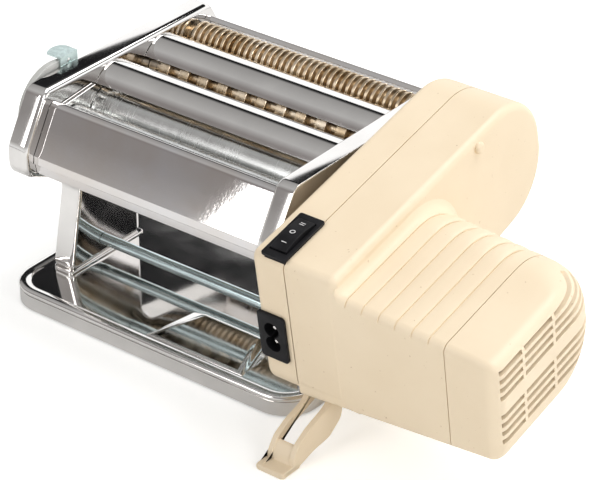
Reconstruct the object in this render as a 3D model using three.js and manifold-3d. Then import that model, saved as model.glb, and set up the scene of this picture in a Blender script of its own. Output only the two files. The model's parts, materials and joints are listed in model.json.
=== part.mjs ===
// Electric pasta maker. A chromed machine stands on a pressed steel base: a pair of smooth
// rollers and two pairs of cutters run between deep-drawn side panels. A gear motor in a
// moulded housing plugs into its right side and rests on a folding foot.
// Millimetres, +Z up, +X towards the motor, +Y to the back.

import * as THREE from 'three';
import { ConvexGeometry } from 'three/addons/geometries/ConvexGeometry.js';
import { mergeVertices } from 'three/addons/utils/BufferGeometryUtils.js';
import Module from 'manifold-3d';

const wasm = await Module();
wasm.setup();

// Clearances
const GAP = 0.3; // between pieces that meet
const RUN = 0.4; // radial clearance of what turns
const PAST = 2; // how far a cutting tool runs past the face it cuts

// Side panels, measured from the front corner of their top edge
const INNER_WIDTH = 150; // between the panels, the width class of the machine
const PANEL_SHEET = 1;
const FLANGE_DEPTH = 12;
const PANEL_EDGE = 3; // drawing radius between the face and its flange
const MACHINE_HEIGHT = 126;
const HEAD_FRONT = 44; // the top corner ahead of the middle of the base
const HEAD_TOP = 134;
const SLOPE_RUN = 16.8;
const SLOPE_DROP = 28.5;
const HEAD_DROP = 43.5;
const FRONT_THROAT_DROP = 61; // where the head's underside meets the leg
const REAR_THROAT_DROP = 58;
const LEG_FRONT_TOP = 23.3;
const LEG_FRONT_FOOT = 12.3;
const LEG_REAR = 70;
const TOP_ROUND = 7;
const KNEE_ROUND = 12;
const HEEL_ROUND = 10;
const THROAT_ROUND = 12;
const LEG_ROUND = 4.5;

// Base
const BASE_OVERHANG = 11; // past the panels' rims
const BASE_DEPTH = 120;
const BASE_CORNER = 20;
const BASE_SHEET = 1.2;
const BASE_LIFT = 1; // skirt above the table
const SKIRT_STEP = 0.4; // skirt inside the rim's bead
const SKIRT_HEIGHT = 9.4;
const RIM_HEIGHT = 12.4;
const RIM_ROUND = 1.5;
const RIM_INSET = 6.8; // width of the bead at the front and back
const RIM_SIDE_INSET = 6.8; // and beside the panels
const FIELD_HEIGHT = 10.2; // at the bead, from where it rises to the ridge
const RIDGE_HEIGHT = 11;
const RIDGE_HALF = 22.7;
const POCKET_FOOT = [-13, 68.6]; // ends of its front edge, and below of its back edge
const POCKET_FOOT_REAR = [-2.5, 58.5];
const POCKET_TOP = [-2.4, 58];
const POCKET_TOP_REAR = [9.6, 46.5];
const POCKET_FRONT = 52.5; // ahead of the middle of the base
const POCKET_REAR = 18;
const POCKET_CREST = 20.5;
const POCKET_RISE = 2.4; // above the ridge at its back
const FOOT_RADIUS = 7;
const FOOT_INSET_X = 18;
const FOOT_INSET_Y = 17;

// Covers: corners of the front one's outer side as [back, up, radius] in the panels' frame
const COVER_SHEET = 0.9;
const COVER_TOP = [[9, -13], [7.6, -7.8, 1], [4, -7.6, 4.5]];
const COVER_SKIRT = [
  [-10.8, -32.8, 1.2], // knee
  [-11.2, -37.2, 0.8], // flat bead
  [-10, -37.9], // step below it
  [-9, -43.8, 1.5], // lip
  [-5, -44.2],
];
const LIP_ROUND = 1.5;
const REAR_COVER_TOP_DROP = 5.2;
const REAR_COVER_TOP_AHEAD = 2.8;
const REAR_FLANGE_RUN = 3;
const REAR_FLANGE_DROP = 2.2;

// Hoods
const HOOD_SHEET = 0.8;
const HOOD_RADIUS = 17;
const HOOD_DROP = 20; // centre of the curve below the top edge
const FRONT_HOOD_BACK = 52.5;
const REAR_HOOD_BACK = 92;
const HOOD_FRONT_LIP_DROP = 10.3;
const HOOD_REAR_LIP_DROP = 7.2;

// Rollers
const SMOOTH_RADIUS = 12.5;
const SMOOTH_BACK = 17.5; // front roller's axis
const SMOOTH_DROP = 27;
const ROLLER_TRAVEL = 2.6; // closing travel of the front roller
const JOURNAL_RADIUS = 4;
const END_PLAY = 0.4; // between a roller's end face and the panel
const CUTTER_RADIUS = 9.2;
const CUTTER_CORE = 5.6;
const CUTTER_PITCH = 16.6;
const CUTTER_TILT = THREE.MathUtils.degToRad(12);
const WIDE_CUT = 6.5;
const NARROW_CUT = 2;
const CUTTER_SIDE_PLAY = 0.2; // between a tooth and the groove it enters
const WIDE_REAR_BACK = 86;
const WIDE_REAR_DROP = 18.5;
const NARROW_REAR_BACK = 121;
const NARROW_REAR_DROP = 15;

// Combs and scrapers
const COMB_SHEET = 0.8;
const COMB_OFFSET = 6.4; // from the cutter's axis
const COMB_TIP_DROP = 2;
const COMB_ROOT_DROP = 8;
const COMB_BAR = 6;
const COMB_SIDE_PLAY = 0.3;
const SCRAPER_SHEET = 0.8;
const SCRAPER_REACH = 9;
const SCRAPER_FALL = 5.6;
const SCRAPER_ANGLE = THREE.MathUtils.degToRad(20); // contact line ahead of straight below

// Dough guides
const GUIDE_THICKNESS = 2;
const GUIDE_FRONT_BACK = 9.5;
const GUIDE_FRONT_DROP = 12.2;
const GUIDE_REAR_DROP = 9.4;
const GUIDE_HEIGHT = 1.6;
const GUIDE_NIP_DEPTH = 6;

// Gears of the rollers
const GEAR_THICKNESS = 4;
const SMOOTH_TEETH = 14;
const SMOOTH_GEAR_TIP = 14.3;
const SMOOTH_GEAR_ROOT = 10.6;
const CUTTER_TEETH = 14;
const CUTTER_GEAR_TIP = 9.2;
const CUTTER_GEAR_ROOT = 7;
const BLOCK_THICKNESS = 2.8;
const BLOCK_HALF_WIDTH = 7;
const BLOCK_HALF_HEIGHT = 8;

// Cover plates in the mouths of the panels
const PLATE_SHEET = 1;
const PLATE_SETBACK = 1.4; // from the flange's rim
const PLATE_PLAY = 0.4;
const PLATE_HEEL_DROP = 41;
const PLATE_HEEL_ROUND = 8;

// Tie rods
const ROD_RADIUS = 3.25;
const ROD_STUD_RADIUS = 2.5;
const LOWER_ROD_BACK = 39.4;
const LOWER_ROD_RISE = 10; // above the ridge of the base
const UPPER_ROD_BACK = 60;
const UPPER_ROD_DROP = 58;
const NUT_RADIUS = 5;
const NUT_THICKNESS = 4;

// Thickness regulator
const DISC_RADIUS = 25.5;
const DISC_THICKNESS = 4.6;
const DISC_EDGE = 1.4;
const DISC_BACK = 22;
const DISC_DROP = 22;
const DISC_STANDOFF = 1.6; // outside the flange's rim
const SEAT_RADIUS = 12.5;
const SEAT_WALL = 2.2;
const SEAT_FLANGE_RADIUS = 16;
const SEAT_FLANGE = 1.5;
const LEVER_SHEET = 1;
const LEVER_RING = 17;
const LEVER_FRONT = 3.9; // its arm, behind the disc's axis
const LEVER_REAR = 17;
const LEVER_HEIGHT = 27.3; // tongue above the disc's axis
const LEVER_TONGUE = 9.2;
const LEVER_FRONT_ROUND = 1.5;
const LEVER_REAR_ROUND = 5;
const LEVER_TIP = 2.6; // bow of its outer edge
const LEVER_TIP_ROUND = 9;
const LEVER_EYE_RADIUS = 1.5;
const LEVER_EYE_BACK = 10.2;
const LEVER_EYE_RISE = 23.6;

// Motor arm, in its own tilted frame: x right, y back along the arm, z up from its top face
const ARM_CLEARANCE = 3; // past the panel's rim
const ARM_LEFT = INNER_WIDTH / 2 + FLANGE_DEPTH + ARM_CLEARANCE;
const ARM_AHEAD = 33.5; // its origin ahead of the panels' top corner
const ARM_DROP = 14.3;
const ARM_TILT = THREE.MathUtils.degToRad(13);
const ARM_WALL = 2.4;
const ARM_FRONT = -5.8;
const ARM_HEEL_AHEAD = 11.3;
const ARM_HEEL_DROP = 84;
const ARM_END = 165.5;
const ARM_END_DROP = 70;
const ARM_END_ROUND = 33;
const ARM_TOP_ROUND = 5;
const ARM_HEEL_ROUND = 11;
const ARM_EDGE = 4;
const SHELL_DEPTH = 19.4; // inner shell, to the seam
const ARM_DEPTH = 49; // to the arm's outer face

// Motor body, a tapered form that grows out of the arm
const BODY_FRONT = -6.2;
const BODY_TOP = 9;
const BODY_BOTTOM = 80.7;
const BODY_REAR = 88;
const BODY_BOTTOM_AHEAD = 4.6;
const BODY_FRONT_ROUND = 4.5;
const BODY_REAR_ROUND = 33;
const BODY_TAPER_HEIGHT = 0.133; // share of its height lost between the arm and the cap
const BODY_TAPER_DEPTH = 0.043; // share of its depth lost on the same way
const TAPER_LEVEL = 31.9;
const ROOT_SPREAD = 4.2; // flare where the body grows out of the arm
const ROOT_LENGTH = 4.8;
const ROOT_INNER_SPREAD = 1.4;
const ROOT_INNER_LENGTH = 2;
const BODY_GROOVES = 6;
const GROOVE_FIRST = 54.4;
const GROOVE_PITCH = 9.36;
const GROOVE_WIDTH = 0.9;
const GROOVE_DEPTH = 0.9;
const GROOVE_REAR = 76;
const GROOVE_DROP = 22; // lower ends of the grooves below the arm's top face
const CAP_SEAM = 110;
const CAP_FACE = 138.5;
const CAP_FRONT_ROUND = 7;
const CAP_REAR_ROUND = 30;
const CAP_TOP_ROUND = 9;

// Vent rows of the end cap
const VENT_HEIGHT = 2.6;
const VENT_PITCH = 4.9;
const VENT_ROWS = 4; // above the bare band, and as many below it
const VENT_TOP = 17.6;
const VENT_BAND = 8.6; // extra height of the bare band
const VENT_FIRST = -5.5;
const VENT_LEAN = 0.076; // each row starts this much further forward per millimetre down
const VENT_BAYS = [19.7, 23.1];
const VENT_RIB = 2;
const VENT_DEPTH = 8;
const VENT_WRAP = 125; // the last bay runs round the rear corner to here

// Switch and inlet
const SWITCH_CENTRE_X = 13.9;
const SWITCH_CENTRE_Y = 10.4;
const SWITCH_WIDTH = 14.6;
const SWITCH_LENGTH = 32;
const SWITCH_RIM = 1.6;
const SWITCH_CORNER = 1;
const SWITCH_FLOOR = 3.6; // under the rocker
const SWITCH_BODY_MARGIN = 1.2;
const SWITCH_BODY_DEPTH = 13;
const ROCKER_WIDTH = 9.4;
const ROCKER_LENGTH = 23;
const ROCKER_RISE = 3.2;
const ROCKER_DEPTH = 4;
const ROCKER_PLAY = 0.5;
const ROCKER_SWING = THREE.MathUtils.degToRad(10);
const INLET_WIDTH = 16.6;
const INLET_HEIGHT = 28;
const INLET_CENTRE_DROP = 48.7;
const INLET_RIM = 1.5;
const INLET_BODY_MARGIN = 1.6;
const INLET_BODY_DEPTH = 12;
const INLET_WELL_DEPTH = 9;
const INLET_PIN_SPACING = 8.6;
const INLET_WELL_RADIUS = 4.4;
const INLET_PIN_RADIUS = 1.2;
const INLET_PIN_LENGTH = 7;

// Gear train of the motor
const TRAIN_MODULE = 1.25;
const PINION_TEETH = 12;
const IDLER_TEETH = 26;
const OUTPUT_TEETH = 32;
const TRAIN_THICKNESS = 7;
const TRAIN_START = 5; // from the arm's inner face
const TRAIN_BEARING = THREE.MathUtils.degToRad(6); // slope of the line of axes along the arm
const AXLE_RADIUS = 3;
const AXLE_BOSS = 6;
const DRIVE_RADIUS = 5;
const DRIVE_BLADE = 2.4;
const DRIVE_ENGAGED = 4;
const MOTOR_START = 53;
const MOTOR_END = 100;
const FAN_RADIUS = 22;
const FAN_HUB = 7;
const FAN_BLADES = 7;
const FAN_DEPTH = 8;
const FAN_BLADE_SHEET = 1.4;
const FAN_STANDOFF = 3;

// Support foot
const PROP_LEFT = ARM_LEFT + 15;
const PROP_WIDTH = 31;
const PROP_RIB = 3;
const PROP_PIVOT_BACK = -9;
const PROP_PIVOT_DROP = 101;
const PROP_PIVOT_BOSS = 4.5;
const PROP_PIN_RADIUS = 1.8;
const PROP_PAD_AHEAD = 38.5; // pad's middle ahead of the pivot
const PROP_PAD_LENGTH = 15;
const PROP_PAD_WIDTH = 17;
const PROP_PAD_HEIGHT = 3;
const PROP_WEB = 2;
const PROP_EAR = 4;
const PROP_PLAY = 0.5;

// Materials
const finish = (color, roughness, metalness) =>
  new THREE.MeshStandardMaterial({ color, roughness, metalness });
const chrome = finish(0xc9cbce, 0.08, 1);
const satinSteel = finish(0x9a9c9c, 0.32, 1);
const zincPlate = finish(0xb4c3c6, 0.3, 1);
const cutterSteel = finish(0xa18f76, 0.35, 1);
const gearSteel = finish(0x7d7f82, 0.45, 1);
const creamPlastic = finish(0xe6d3b1, 0.45, 0);
const blackPlastic = finish(0x17181a, 0.4, 0);
const greyPlastic = finish(0xb9bab8, 0.5, 0);
const rubber = finish(0x202020, 0.9, 0);
const whiteNylon = finish(0xe8e6de, 0.55, 0);

const machine = new THREE.Group();
const head = new THREE.Group();
head.position.set(0, -HEAD_FRONT, MACHINE_HEIGHT);
machine.add(head);
const arm = new THREE.Group();
arm.position.set(ARM_LEFT, -ARM_AHEAD, -ARM_DROP);
arm.rotation.x = ARM_TILT;
head.add(arm);

function add(group, name, geometry, material) {
  const mesh = new THREE.Mesh(geometry, material);
  mesh.name = name;
  group.add(mesh);
  return mesh;
}

// Outlines: each corner is [across, up, radius], counterclockwise
function outline(corners) {
  const shape = new THREE.Shape();
  corners.forEach(([across, up, radius = 0], i) => {
    const here = new THREE.Vector2(across, up);
    const before = new THREE.Vector2(...corners.at(i - 1));
    const after = new THREE.Vector2(...corners[(i + 1) % corners.length]);
    const back = before.sub(here).normalize();
    const on = after.sub(here).normalize();
    const half = Math.acos(THREE.MathUtils.clamp(back.dot(on), -1, 1)) / 2;
    const setback = radius / Math.tan(half);
    const start = here.clone().addScaledVector(back, setback);
    if (i === 0) {
      shape.moveTo(start.x, start.y);
    } else {
      shape.lineTo(start.x, start.y);
    }
    if (radius > 0) {
      const end = here.clone().addScaledVector(on, setback);
      const inward = back.clone().add(on).normalize();
      const centre = here.clone().addScaledVector(inward, radius / Math.sin(half));
      const from = Math.atan2(start.y - centre.y, start.x - centre.x);
      const to = Math.atan2(end.y - centre.y, end.x - centre.x);
      shape.absarc(centre.x, centre.y, radius, from, to, back.cross(on) > 0);
    }
  });
  shape.closePath();
  return shape;
}

// The same outline drawn in by a wall
function inset(corners, wall) {
  const count = corners.length;
  const lines = corners.map(([x, y], i) => {
    const [nextX, nextY] = corners[(i + 1) % count];
    const along = new THREE.Vector2(nextX - x, nextY - y).normalize();
    return { x: x - along.y * wall, y: y + along.x * wall, along };
  });
  return corners.map(([, , radius = 0], i) => {
    const a = lines.at(i - 1);
    const b = lines[i];
    const turn = a.along.cross(b.along);
    const reach = ((b.x - a.x) * b.along.y - (b.y - a.y) * b.along.x) / turn;
    const eased = turn > 0 ? Math.max(radius - wall, 0) : radius + wall;
    return [a.x + a.along.x * reach, a.y + a.along.y * reach, radius > 0 ? eased : 0];
  });
}

// A bent sheet: its outer side runs through the points and its wall lies to their left
function sheet(points, wall) {
  const directions = points.slice(1).map(([x, y], i) =>
    new THREE.Vector2(x - points[i][0], y - points[i][1]).normalize());
  const inner = points.map(([x, y, radius = 0], i) => {
    const a = directions[Math.max(i - 1, 0)];
    const b = directions[Math.min(i, directions.length - 1)];
    const left = new THREE.Vector2(-a.y - b.y, a.x + b.x);
    const scale = wall / (1 + a.dot(b));
    const turn = a.cross(b);
    const eased = turn > 0 ? Math.max(radius - wall, 0) : radius + wall;
    return [x + left.x * scale, y + left.y * scale, radius > 0 ? eased : 0];
  });
  return outline([...points, ...inner.reverse()]);
}

// Extrusions along X, and along Z. A bevel rounds both ends.
function extrude(shape, length, smooth, bevel) {
  return new THREE.ExtrudeGeometry(shape, {
    depth: length - bevel * 2,
    curveSegments: smooth,
    bevelEnabled: bevel > 0,
    bevelSize: bevel,
    bevelThickness: bevel,
    bevelOffset: -bevel,
    bevelSegments: 2,
  }).translate(0, 0, bevel);
}

function alongX(shape, from, to, smooth = 3, bevel = 0) {
  const turn = new THREE.Matrix4().makeBasis(
    new THREE.Vector3(0, 1, 0), new THREE.Vector3(0, 0, 1), new THREE.Vector3(1, 0, 0));
  return extrude(shape, to - from, smooth, bevel).applyMatrix4(turn).translate(from, 0, 0);
}

function alongY(shape, from, to, smooth = 3) {
  const turn = new THREE.Matrix4().makeBasis(
    new THREE.Vector3(0, 0, 1), new THREE.Vector3(1, 0, 0), new THREE.Vector3(0, 1, 0));
  return extrude(shape, to - from, smooth, 0).applyMatrix4(turn).translate(0, from, 0);
}

function alongZ(shape, from, to, smooth = 3, bevel = 0) {
  return extrude(shape, to - from, smooth, bevel).translate(0, 0, from);
}

function box(x0, x1, y0, y1, z0, z1) {
  const geometry = new THREE.BoxGeometry(x1 - x0, y1 - y0, z1 - z0);
  return geometry.translate((x0 + x1) / 2, (y0 + y1) / 2, (z0 + z1) / 2);
}

// Turned pieces along X: each step is [place along X, radius]
function turned(steps, sides = 20) {
  const [first] = steps[0];
  const [last] = steps.at(-1);
  const profile = [[first, 0], ...steps, [last, 0]].map(([x, r]) => new THREE.Vector2(r, x));
  return new THREE.LatheGeometry(profile, sides).rotateZ(-Math.PI / 2);
}

function rod(x0, x1, y, z, radius, sides = 16) {
  return turned([[x0, radius], [x1, radius]], sides).translate(0, y, z);
}

// Joins and cuts
function solid(geometry) {
  const bare = new THREE.BufferGeometry();
  bare.setAttribute('position', geometry.attributes.position.clone());
  if (geometry.index) {
    bare.setIndex(geometry.index.clone());
  }
  const merged = mergeVertices(bare);
  const corners = merged.index.array;
  const faces = [];
  for (let i = 0; i < corners.length; i += 3) {
    const [a, b, c] = [corners[i], corners[i + 1], corners[i + 2]];
    if (a !== b && b !== c && c !== a) {
      faces.push(a, b, c);
    }
  }
  return new wasm.Manifold(new wasm.Mesh({
    numProp: 3,
    vertProperties: merged.attributes.position.array,
    triVerts: new Uint32Array(faces),
  }));
}

function skin(form) {
  const mesh = form.getMesh();
  const geometry = new THREE.BufferGeometry();
  geometry.setAttribute('position', new THREE.BufferAttribute(mesh.vertProperties, 3));
  geometry.setIndex(new THREE.BufferAttribute(mesh.triVerts, 1));
  geometry.computeVertexNormals();
  return geometry;
}

function join(...pieces) {
  return skin(pieces.map(solid).reduce((whole, piece) => whole.add(piece)));
}

function cut(piece, ...tools) {
  return skin(tools.map(solid).reduce((rest, tool) => rest.subtract(tool), solid(piece)));
}

function common(...pieces) {
  return skin(pieces.map(solid).reduce((shared, piece) => shared.intersect(piece)));
}

function moved(geometry, matrix) {
  return geometry.clone().applyMatrix4(matrix);
}

// Places of the axes in the panels' frame
const smoothFront = { y: SMOOTH_BACK, z: -SMOOTH_DROP };
const smoothRear = {
  y: SMOOTH_BACK + SMOOTH_RADIUS * 2 + GAP + ROLLER_TRAVEL,
  z: -SMOOTH_DROP,
};
const wideRear = { y: WIDE_REAR_BACK, z: -WIDE_REAR_DROP };
const narrowRear = { y: NARROW_REAR_BACK, z: -NARROW_REAR_DROP };
const mate = ({ y, z }) => ({
  y: y - CUTTER_PITCH * Math.cos(CUTTER_TILT),
  z: z - CUTTER_PITCH * Math.sin(CUTTER_TILT),
});
const wideFront = mate(wideRear);
const narrowFront = mate(narrowRear);
const halfWidth = INNER_WIDTH / 2;
const spanHalf = halfWidth - GAP;
const flangeRim = halfWidth + FLANGE_DEPTH;
const plateOuter = flangeRim - PLATE_SETBACK;
const plateInner = plateOuter - PLATE_SHEET;
const baseTop = RIDGE_HEIGHT - MACHINE_HEIGHT;
const lowerRod = { y: LOWER_ROD_BACK, z: baseTop + LOWER_ROD_RISE };
const upperRod = { y: UPPER_ROD_BACK, z: -UPPER_ROD_DROP };
const disc = { y: DISC_BACK, z: -DISC_DROP };

// Base plate: a pressed tray, open below, with a rounded rim, a low ridge and a clamp pocket
function roundedRectangle(width, depth, corner) {
  const x = width / 2;
  const y = depth / 2;
  return outline([[-x, -y, corner], [x, -y, corner], [x, y, corner], [-x, y, corner]]);
}

const baseWidth = INNER_WIDTH + (FLANGE_DEPTH + BASE_OVERHANG) * 2;

function rimRing(width, depth, corner, drawnIn, from, bevel) {
  const shape = roundedRectangle(width, depth, corner);
  const side = RIM_SIDE_INSET - drawnIn;
  const end = RIM_INSET - drawnIn;
  shape.holes.push(roundedRectangle(width - side * 2, depth - end * 2, corner - end));
  return alongZ(shape, from, from + RIM_HEIGHT - SKIRT_HEIGHT, 3, bevel);
}

function pocketForm(wall) {
  const low = SKIRT_HEIGHT - wall;
  const rimTop = RIM_HEIGHT - wall;
  const crest = RIDGE_HEIGHT + POCKET_RISE - wall;
  const rows = [
    [POCKET_FOOT, -POCKET_FRONT, low], [POCKET_FOOT_REAR, -POCKET_REAR, low],
    [POCKET_TOP, -POCKET_FRONT, rimTop], [POCKET_TOP_REAR, -POCKET_CREST, crest],
  ];
  return new ConvexGeometry(rows.flatMap(([[left, right], y, z]) =>
    [new THREE.Vector3(left + wall, y, z), new THREE.Vector3(right - wall, y, z)]));
}

function baseForm(wall) {
  const floor = wall > 0 ? -PAST : BASE_LIFT;
  const inner = wall + SKIRT_STEP;
  const width = baseWidth - inner * 2;
  const depth = BASE_DEPTH - inner * 2;
  const corner = BASE_CORNER - inner;
  const foot = BASE_DEPTH / 2 - RIM_INSET;
  const fieldTop = FIELD_HEIGHT - wall;
  const ridgeTop = RIDGE_HEIGHT - wall;
  const reach = BASE_DEPTH;
  const fieldProfile = alongX(outline([
    [-reach, -reach], [reach, -reach], [reach, fieldTop], [foot, fieldTop], [RIDGE_HALF, ridgeTop],
    [-RIDGE_HALF, ridgeTop], [-foot, fieldTop], [-reach, fieldTop],
  ]), -baseWidth, baseWidth);
  const skirt = alongZ(roundedRectangle(width, depth, corner), floor, SKIRT_HEIGHT + GAP - wall);
  const field = common(fieldProfile,
    alongZ(roundedRectangle(width - RIM_INSET, depth - RIM_INSET, corner - RIM_INSET / 2),
      floor, RIM_HEIGHT));
  const ring = wall > 0
    ? rimRing(width, depth, corner, inner + wall, SKIRT_HEIGHT - wall, 0)
    : rimRing(baseWidth, BASE_DEPTH, BASE_CORNER, 0, SKIRT_HEIGHT, RIM_ROUND);
  return join(skirt, field, ring, pocketForm(wall));
}

function basePlate() {
  return cut(baseForm(0), baseForm(BASE_SHEET));
}

add(machine, 'base_plate', basePlate(), chrome);

function rubberFoot() {
  const shape = new THREE.Shape();
  shape.absarc(0, 0, FOOT_RADIUS, 0, Math.PI * 2);
  return alongZ(shape, 0, FIELD_HEIGHT - BASE_SHEET - GAP, 6);
}

for (const [end, side] of [['front', -1], ['rear', 1]]) {
  for (const [hand, across] of [['left', -1], ['right', 1]]) {
    const foot = add(machine, `rubber_foot_${end}_${hand}`, rubberFoot(), rubber);
    foot.position.x = across * (baseWidth / 2 - FOOT_INSET_X);
    foot.position.y = side * (BASE_DEPTH / 2 - FOOT_INSET_Y);
  }
}

// Side panels: deep-drawn sheet, a wide head on a narrower leg, flanged outwards all round
const legFoot = baseTop + GAP;
const panelCorners = [
  [0, 0, TOP_ROUND],
  [-SLOPE_RUN, -SLOPE_DROP, KNEE_ROUND],
  [-SLOPE_RUN, -HEAD_DROP, HEEL_ROUND],
  [LEG_FRONT_TOP, -FRONT_THROAT_DROP, THROAT_ROUND],
  [LEG_FRONT_FOOT, legFoot, LEG_ROUND],
  [LEG_REAR, legFoot, LEG_ROUND],
  [LEG_REAR, -REAR_THROAT_DROP, THROAT_ROUND],
  [HEAD_TOP + SLOPE_RUN, -HEAD_DROP, HEEL_ROUND],
  [HEAD_TOP + SLOPE_RUN, -SLOPE_DROP, KNEE_ROUND],
  [HEAD_TOP, 0, TOP_ROUND],
];

function between(side, near, far) {
  return side > 0 ? [near, far] : [-far, -near];
}

function sidePanel(side) {
  const [x0, x1] = between(side, halfWidth, flangeRim + PANEL_EDGE * 2);
  const [waste0, waste1] = between(side, flangeRim, flangeRim + FLANGE_DEPTH);
  const [hollow0, hollow1] = between(side, halfWidth + PANEL_SHEET, flangeRim + FLANGE_DEPTH);
  const [hole0, hole1] = between(side, halfWidth - PAST, halfWidth + PANEL_SHEET + PAST);
  const pan = alongX(outline(panelCorners), x0, x1, 2, PANEL_EDGE);
  const hollow = alongX(outline(inset(panelCorners, PANEL_SHEET)), hollow0, hollow1, 2,
    PANEL_EDGE - PANEL_SHEET);
  const reach = MACHINE_HEIGHT * 2;
  const waste = box(waste0, waste1, -reach, reach, -reach, reach);
  const journals = [smoothRear, wideFront, wideRear, narrowFront, narrowRear].map(({ y, z }) =>
    rod(hole0, hole1, y, z, JOURNAL_RADIUS + RUN, 12));
  const studs = [lowerRod, upperRod].map(({ y, z }) =>
    rod(hole0, hole1, y, z, ROD_STUD_RADIUS + GAP, 12));
  const slotHalf = JOURNAL_RADIUS + RUN;
  const slot = alongX(outline([
    [smoothFront.y - slotHalf, smoothFront.z - slotHalf, slotHalf - GAP],
    [smoothFront.y + ROLLER_TRAVEL + slotHalf, smoothFront.z - slotHalf, slotHalf - GAP],
    [smoothFront.y + ROLLER_TRAVEL + slotHalf, smoothFront.z + slotHalf, slotHalf - GAP],
    [smoothFront.y - slotHalf, smoothFront.z + slotHalf, slotHalf - GAP],
  ]), hole0, hole1, 2);
  return cut(pan, waste, hollow, slot, ...journals, ...studs);
}

add(head, 'left_side_panel', sidePanel(-1), chrome);
add(head, 'right_side_panel', sidePanel(1), chrome);

// Front and rear covers: folded sheet that follows the head's ends, set in behind the rims
function frontCover() {
  return alongX(sheet([...COVER_TOP, ...COVER_SKIRT], COVER_SHEET), -spanHalf, spanHalf, 2);
}

function rearCover() {
  const top = HEAD_TOP - REAR_COVER_TOP_AHEAD;
  const drop = -REAR_COVER_TOP_DROP;
  const skirt = COVER_SKIRT.map(([y, z, radius = 0]) => [HEAD_TOP - y, z, radius]).reverse();
  return alongX(sheet([
    ...skirt, [top, drop, LIP_ROUND], [top - REAR_FLANGE_RUN, drop - REAR_FLANGE_DROP],
  ], COVER_SHEET), -spanHalf, spanHalf, 2);
}

add(head, 'front_cover', frontCover(), chrome);
add(head, 'rear_cover', rearCover(), chrome);

// Hoods: round-backed sheet between the slots, its front lip lower than its rear one
function hood(back) {
  const inner = HOOD_RADIUS - HOOD_SHEET;
  const frontAngle = Math.PI - Math.asin((HOOD_DROP - HOOD_FRONT_LIP_DROP) / HOOD_RADIUS);
  const rearAngle = Math.asin((HOOD_DROP - HOOD_REAR_LIP_DROP) / HOOD_RADIUS);
  const shape = new THREE.Shape();
  shape.absarc(back, -HOOD_DROP, HOOD_RADIUS, rearAngle, frontAngle, false);
  shape.absarc(back, -HOOD_DROP, inner, frontAngle, rearAngle, true);
  shape.closePath();
  return alongX(shape, -spanHalf, spanHalf, 6);
}

add(head, 'front_hood', hood(FRONT_HOOD_BACK), chrome);
add(head, 'rear_hood', hood(REAR_HOOD_BACK), chrome);

// Rollers. Their journals pass the panels: a short end on the left, a gear end on the right.
const rollerHalf = halfWidth - END_PLAY;
const leftEnd = -(halfWidth + PANEL_SHEET + GAP + BLOCK_THICKNESS);
const gearStart = halfWidth + PANEL_SHEET + GAP + BLOCK_THICKNESS + GAP;
const gearEnd = gearStart + GEAR_THICKNESS;

function smoothRoller() {
  return turned([
    [leftEnd, JOURNAL_RADIUS], [-rollerHalf, JOURNAL_RADIUS],
    [-rollerHalf, SMOOTH_RADIUS], [rollerHalf, SMOOTH_RADIUS],
    [rollerHalf, JOURNAL_RADIUS], [gearEnd, JOURNAL_RADIUS],
  ], 24);
}

for (const [name, { y, z }] of Object.entries({
  smooth_roller_front: smoothFront, smooth_roller_rear: smoothRear,
})) {
  add(head, name, smoothRoller(), satinSteel).position.set(0, y, z);
}

// Cutters: discs as wide as the cut, which run in the mating cutter's grooves
function discStarts(width, phase) {
  const usable = rollerHalf * 2;
  const slots = Math.floor(usable / width);
  const first = -slots * width / 2;
  const starts = [];
  for (let i = phase; i < slots; i += 2) {
    starts.push(first + i * width);
  }
  return starts;
}

function cutter(width, phase, sides, rightEnd) {
  const steps = [[leftEnd, JOURNAL_RADIUS], [-rollerHalf, JOURNAL_RADIUS], [-rollerHalf, CUTTER_CORE]];
  for (const start of discStarts(width, phase)) {
    const from = start + CUTTER_SIDE_PLAY / 2;
    const to = start + width - CUTTER_SIDE_PLAY / 2;
    steps.push([from, CUTTER_CORE], [from, CUTTER_RADIUS], [to, CUTTER_RADIUS], [to, CUTTER_CORE]);
  }
  steps.push([rollerHalf, CUTTER_CORE], [rollerHalf, JOURNAL_RADIUS], [rightEnd, JOURNAL_RADIUS]);
  return turned(steps, sides);
}

// The front narrow cutter is the driven one: its journal ends in a slotted dog
const dogEnd = flangeRim + PAST / 2;
const dogSlot = dogEnd - DRIVE_ENGAGED;

function drivenCutter() {
  const half = DRIVE_BLADE / 2 + GAP;
  return cut(
    cutter(NARROW_CUT, 0, 6, dogEnd),
    box(dogSlot - GAP, dogEnd + PAST, -DRIVE_RADIUS * 2, DRIVE_RADIUS * 2, -half, half));
}

add(head, 'wide_cutter_front', cutter(WIDE_CUT, 0, 10, gearEnd), cutterSteel)
  .position.set(0, wideFront.y, wideFront.z);
add(head, 'wide_cutter_rear', cutter(WIDE_CUT, 1, 10, gearEnd), cutterSteel)
  .position.set(0, wideRear.y, wideRear.z);
add(head, 'narrow_cutter_front', drivenCutter(), cutterSteel)
  .position.set(0, narrowFront.y, narrowFront.z);
add(head, 'narrow_cutter_rear', cutter(NARROW_CUT, 1, 6, gearEnd), cutterSteel)
  .position.set(0, narrowRear.y, narrowRear.z);

// Combs: a fingered strip below each cutter lifts the cut dough out of its grooves
function comb(axis, side, width, phase) {
  const middle = axis.y + side * COMB_OFFSET;
  const tip = axis.z - COMB_TIP_DROP;
  const root = axis.z - COMB_ROOT_DROP;
  const grooves = discStarts(width, 1 - phase);
  const corners = [[-spanHalf, root - COMB_BAR], [spanHalf, root - COMB_BAR], [spanHalf, root]];
  for (const start of grooves.reverse()) {
    const from = start + width - COMB_SIDE_PLAY;
    const to = start + COMB_SIDE_PLAY;
    corners.push([from, root], [from, tip], [to, tip], [to, root]);
  }
  corners.push([-spanHalf, root]);
  return alongY(outline(corners.map(([x, z]) => [z, x]).reverse()),
    middle - COMB_SHEET / 2, middle + COMB_SHEET / 2);
}

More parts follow.
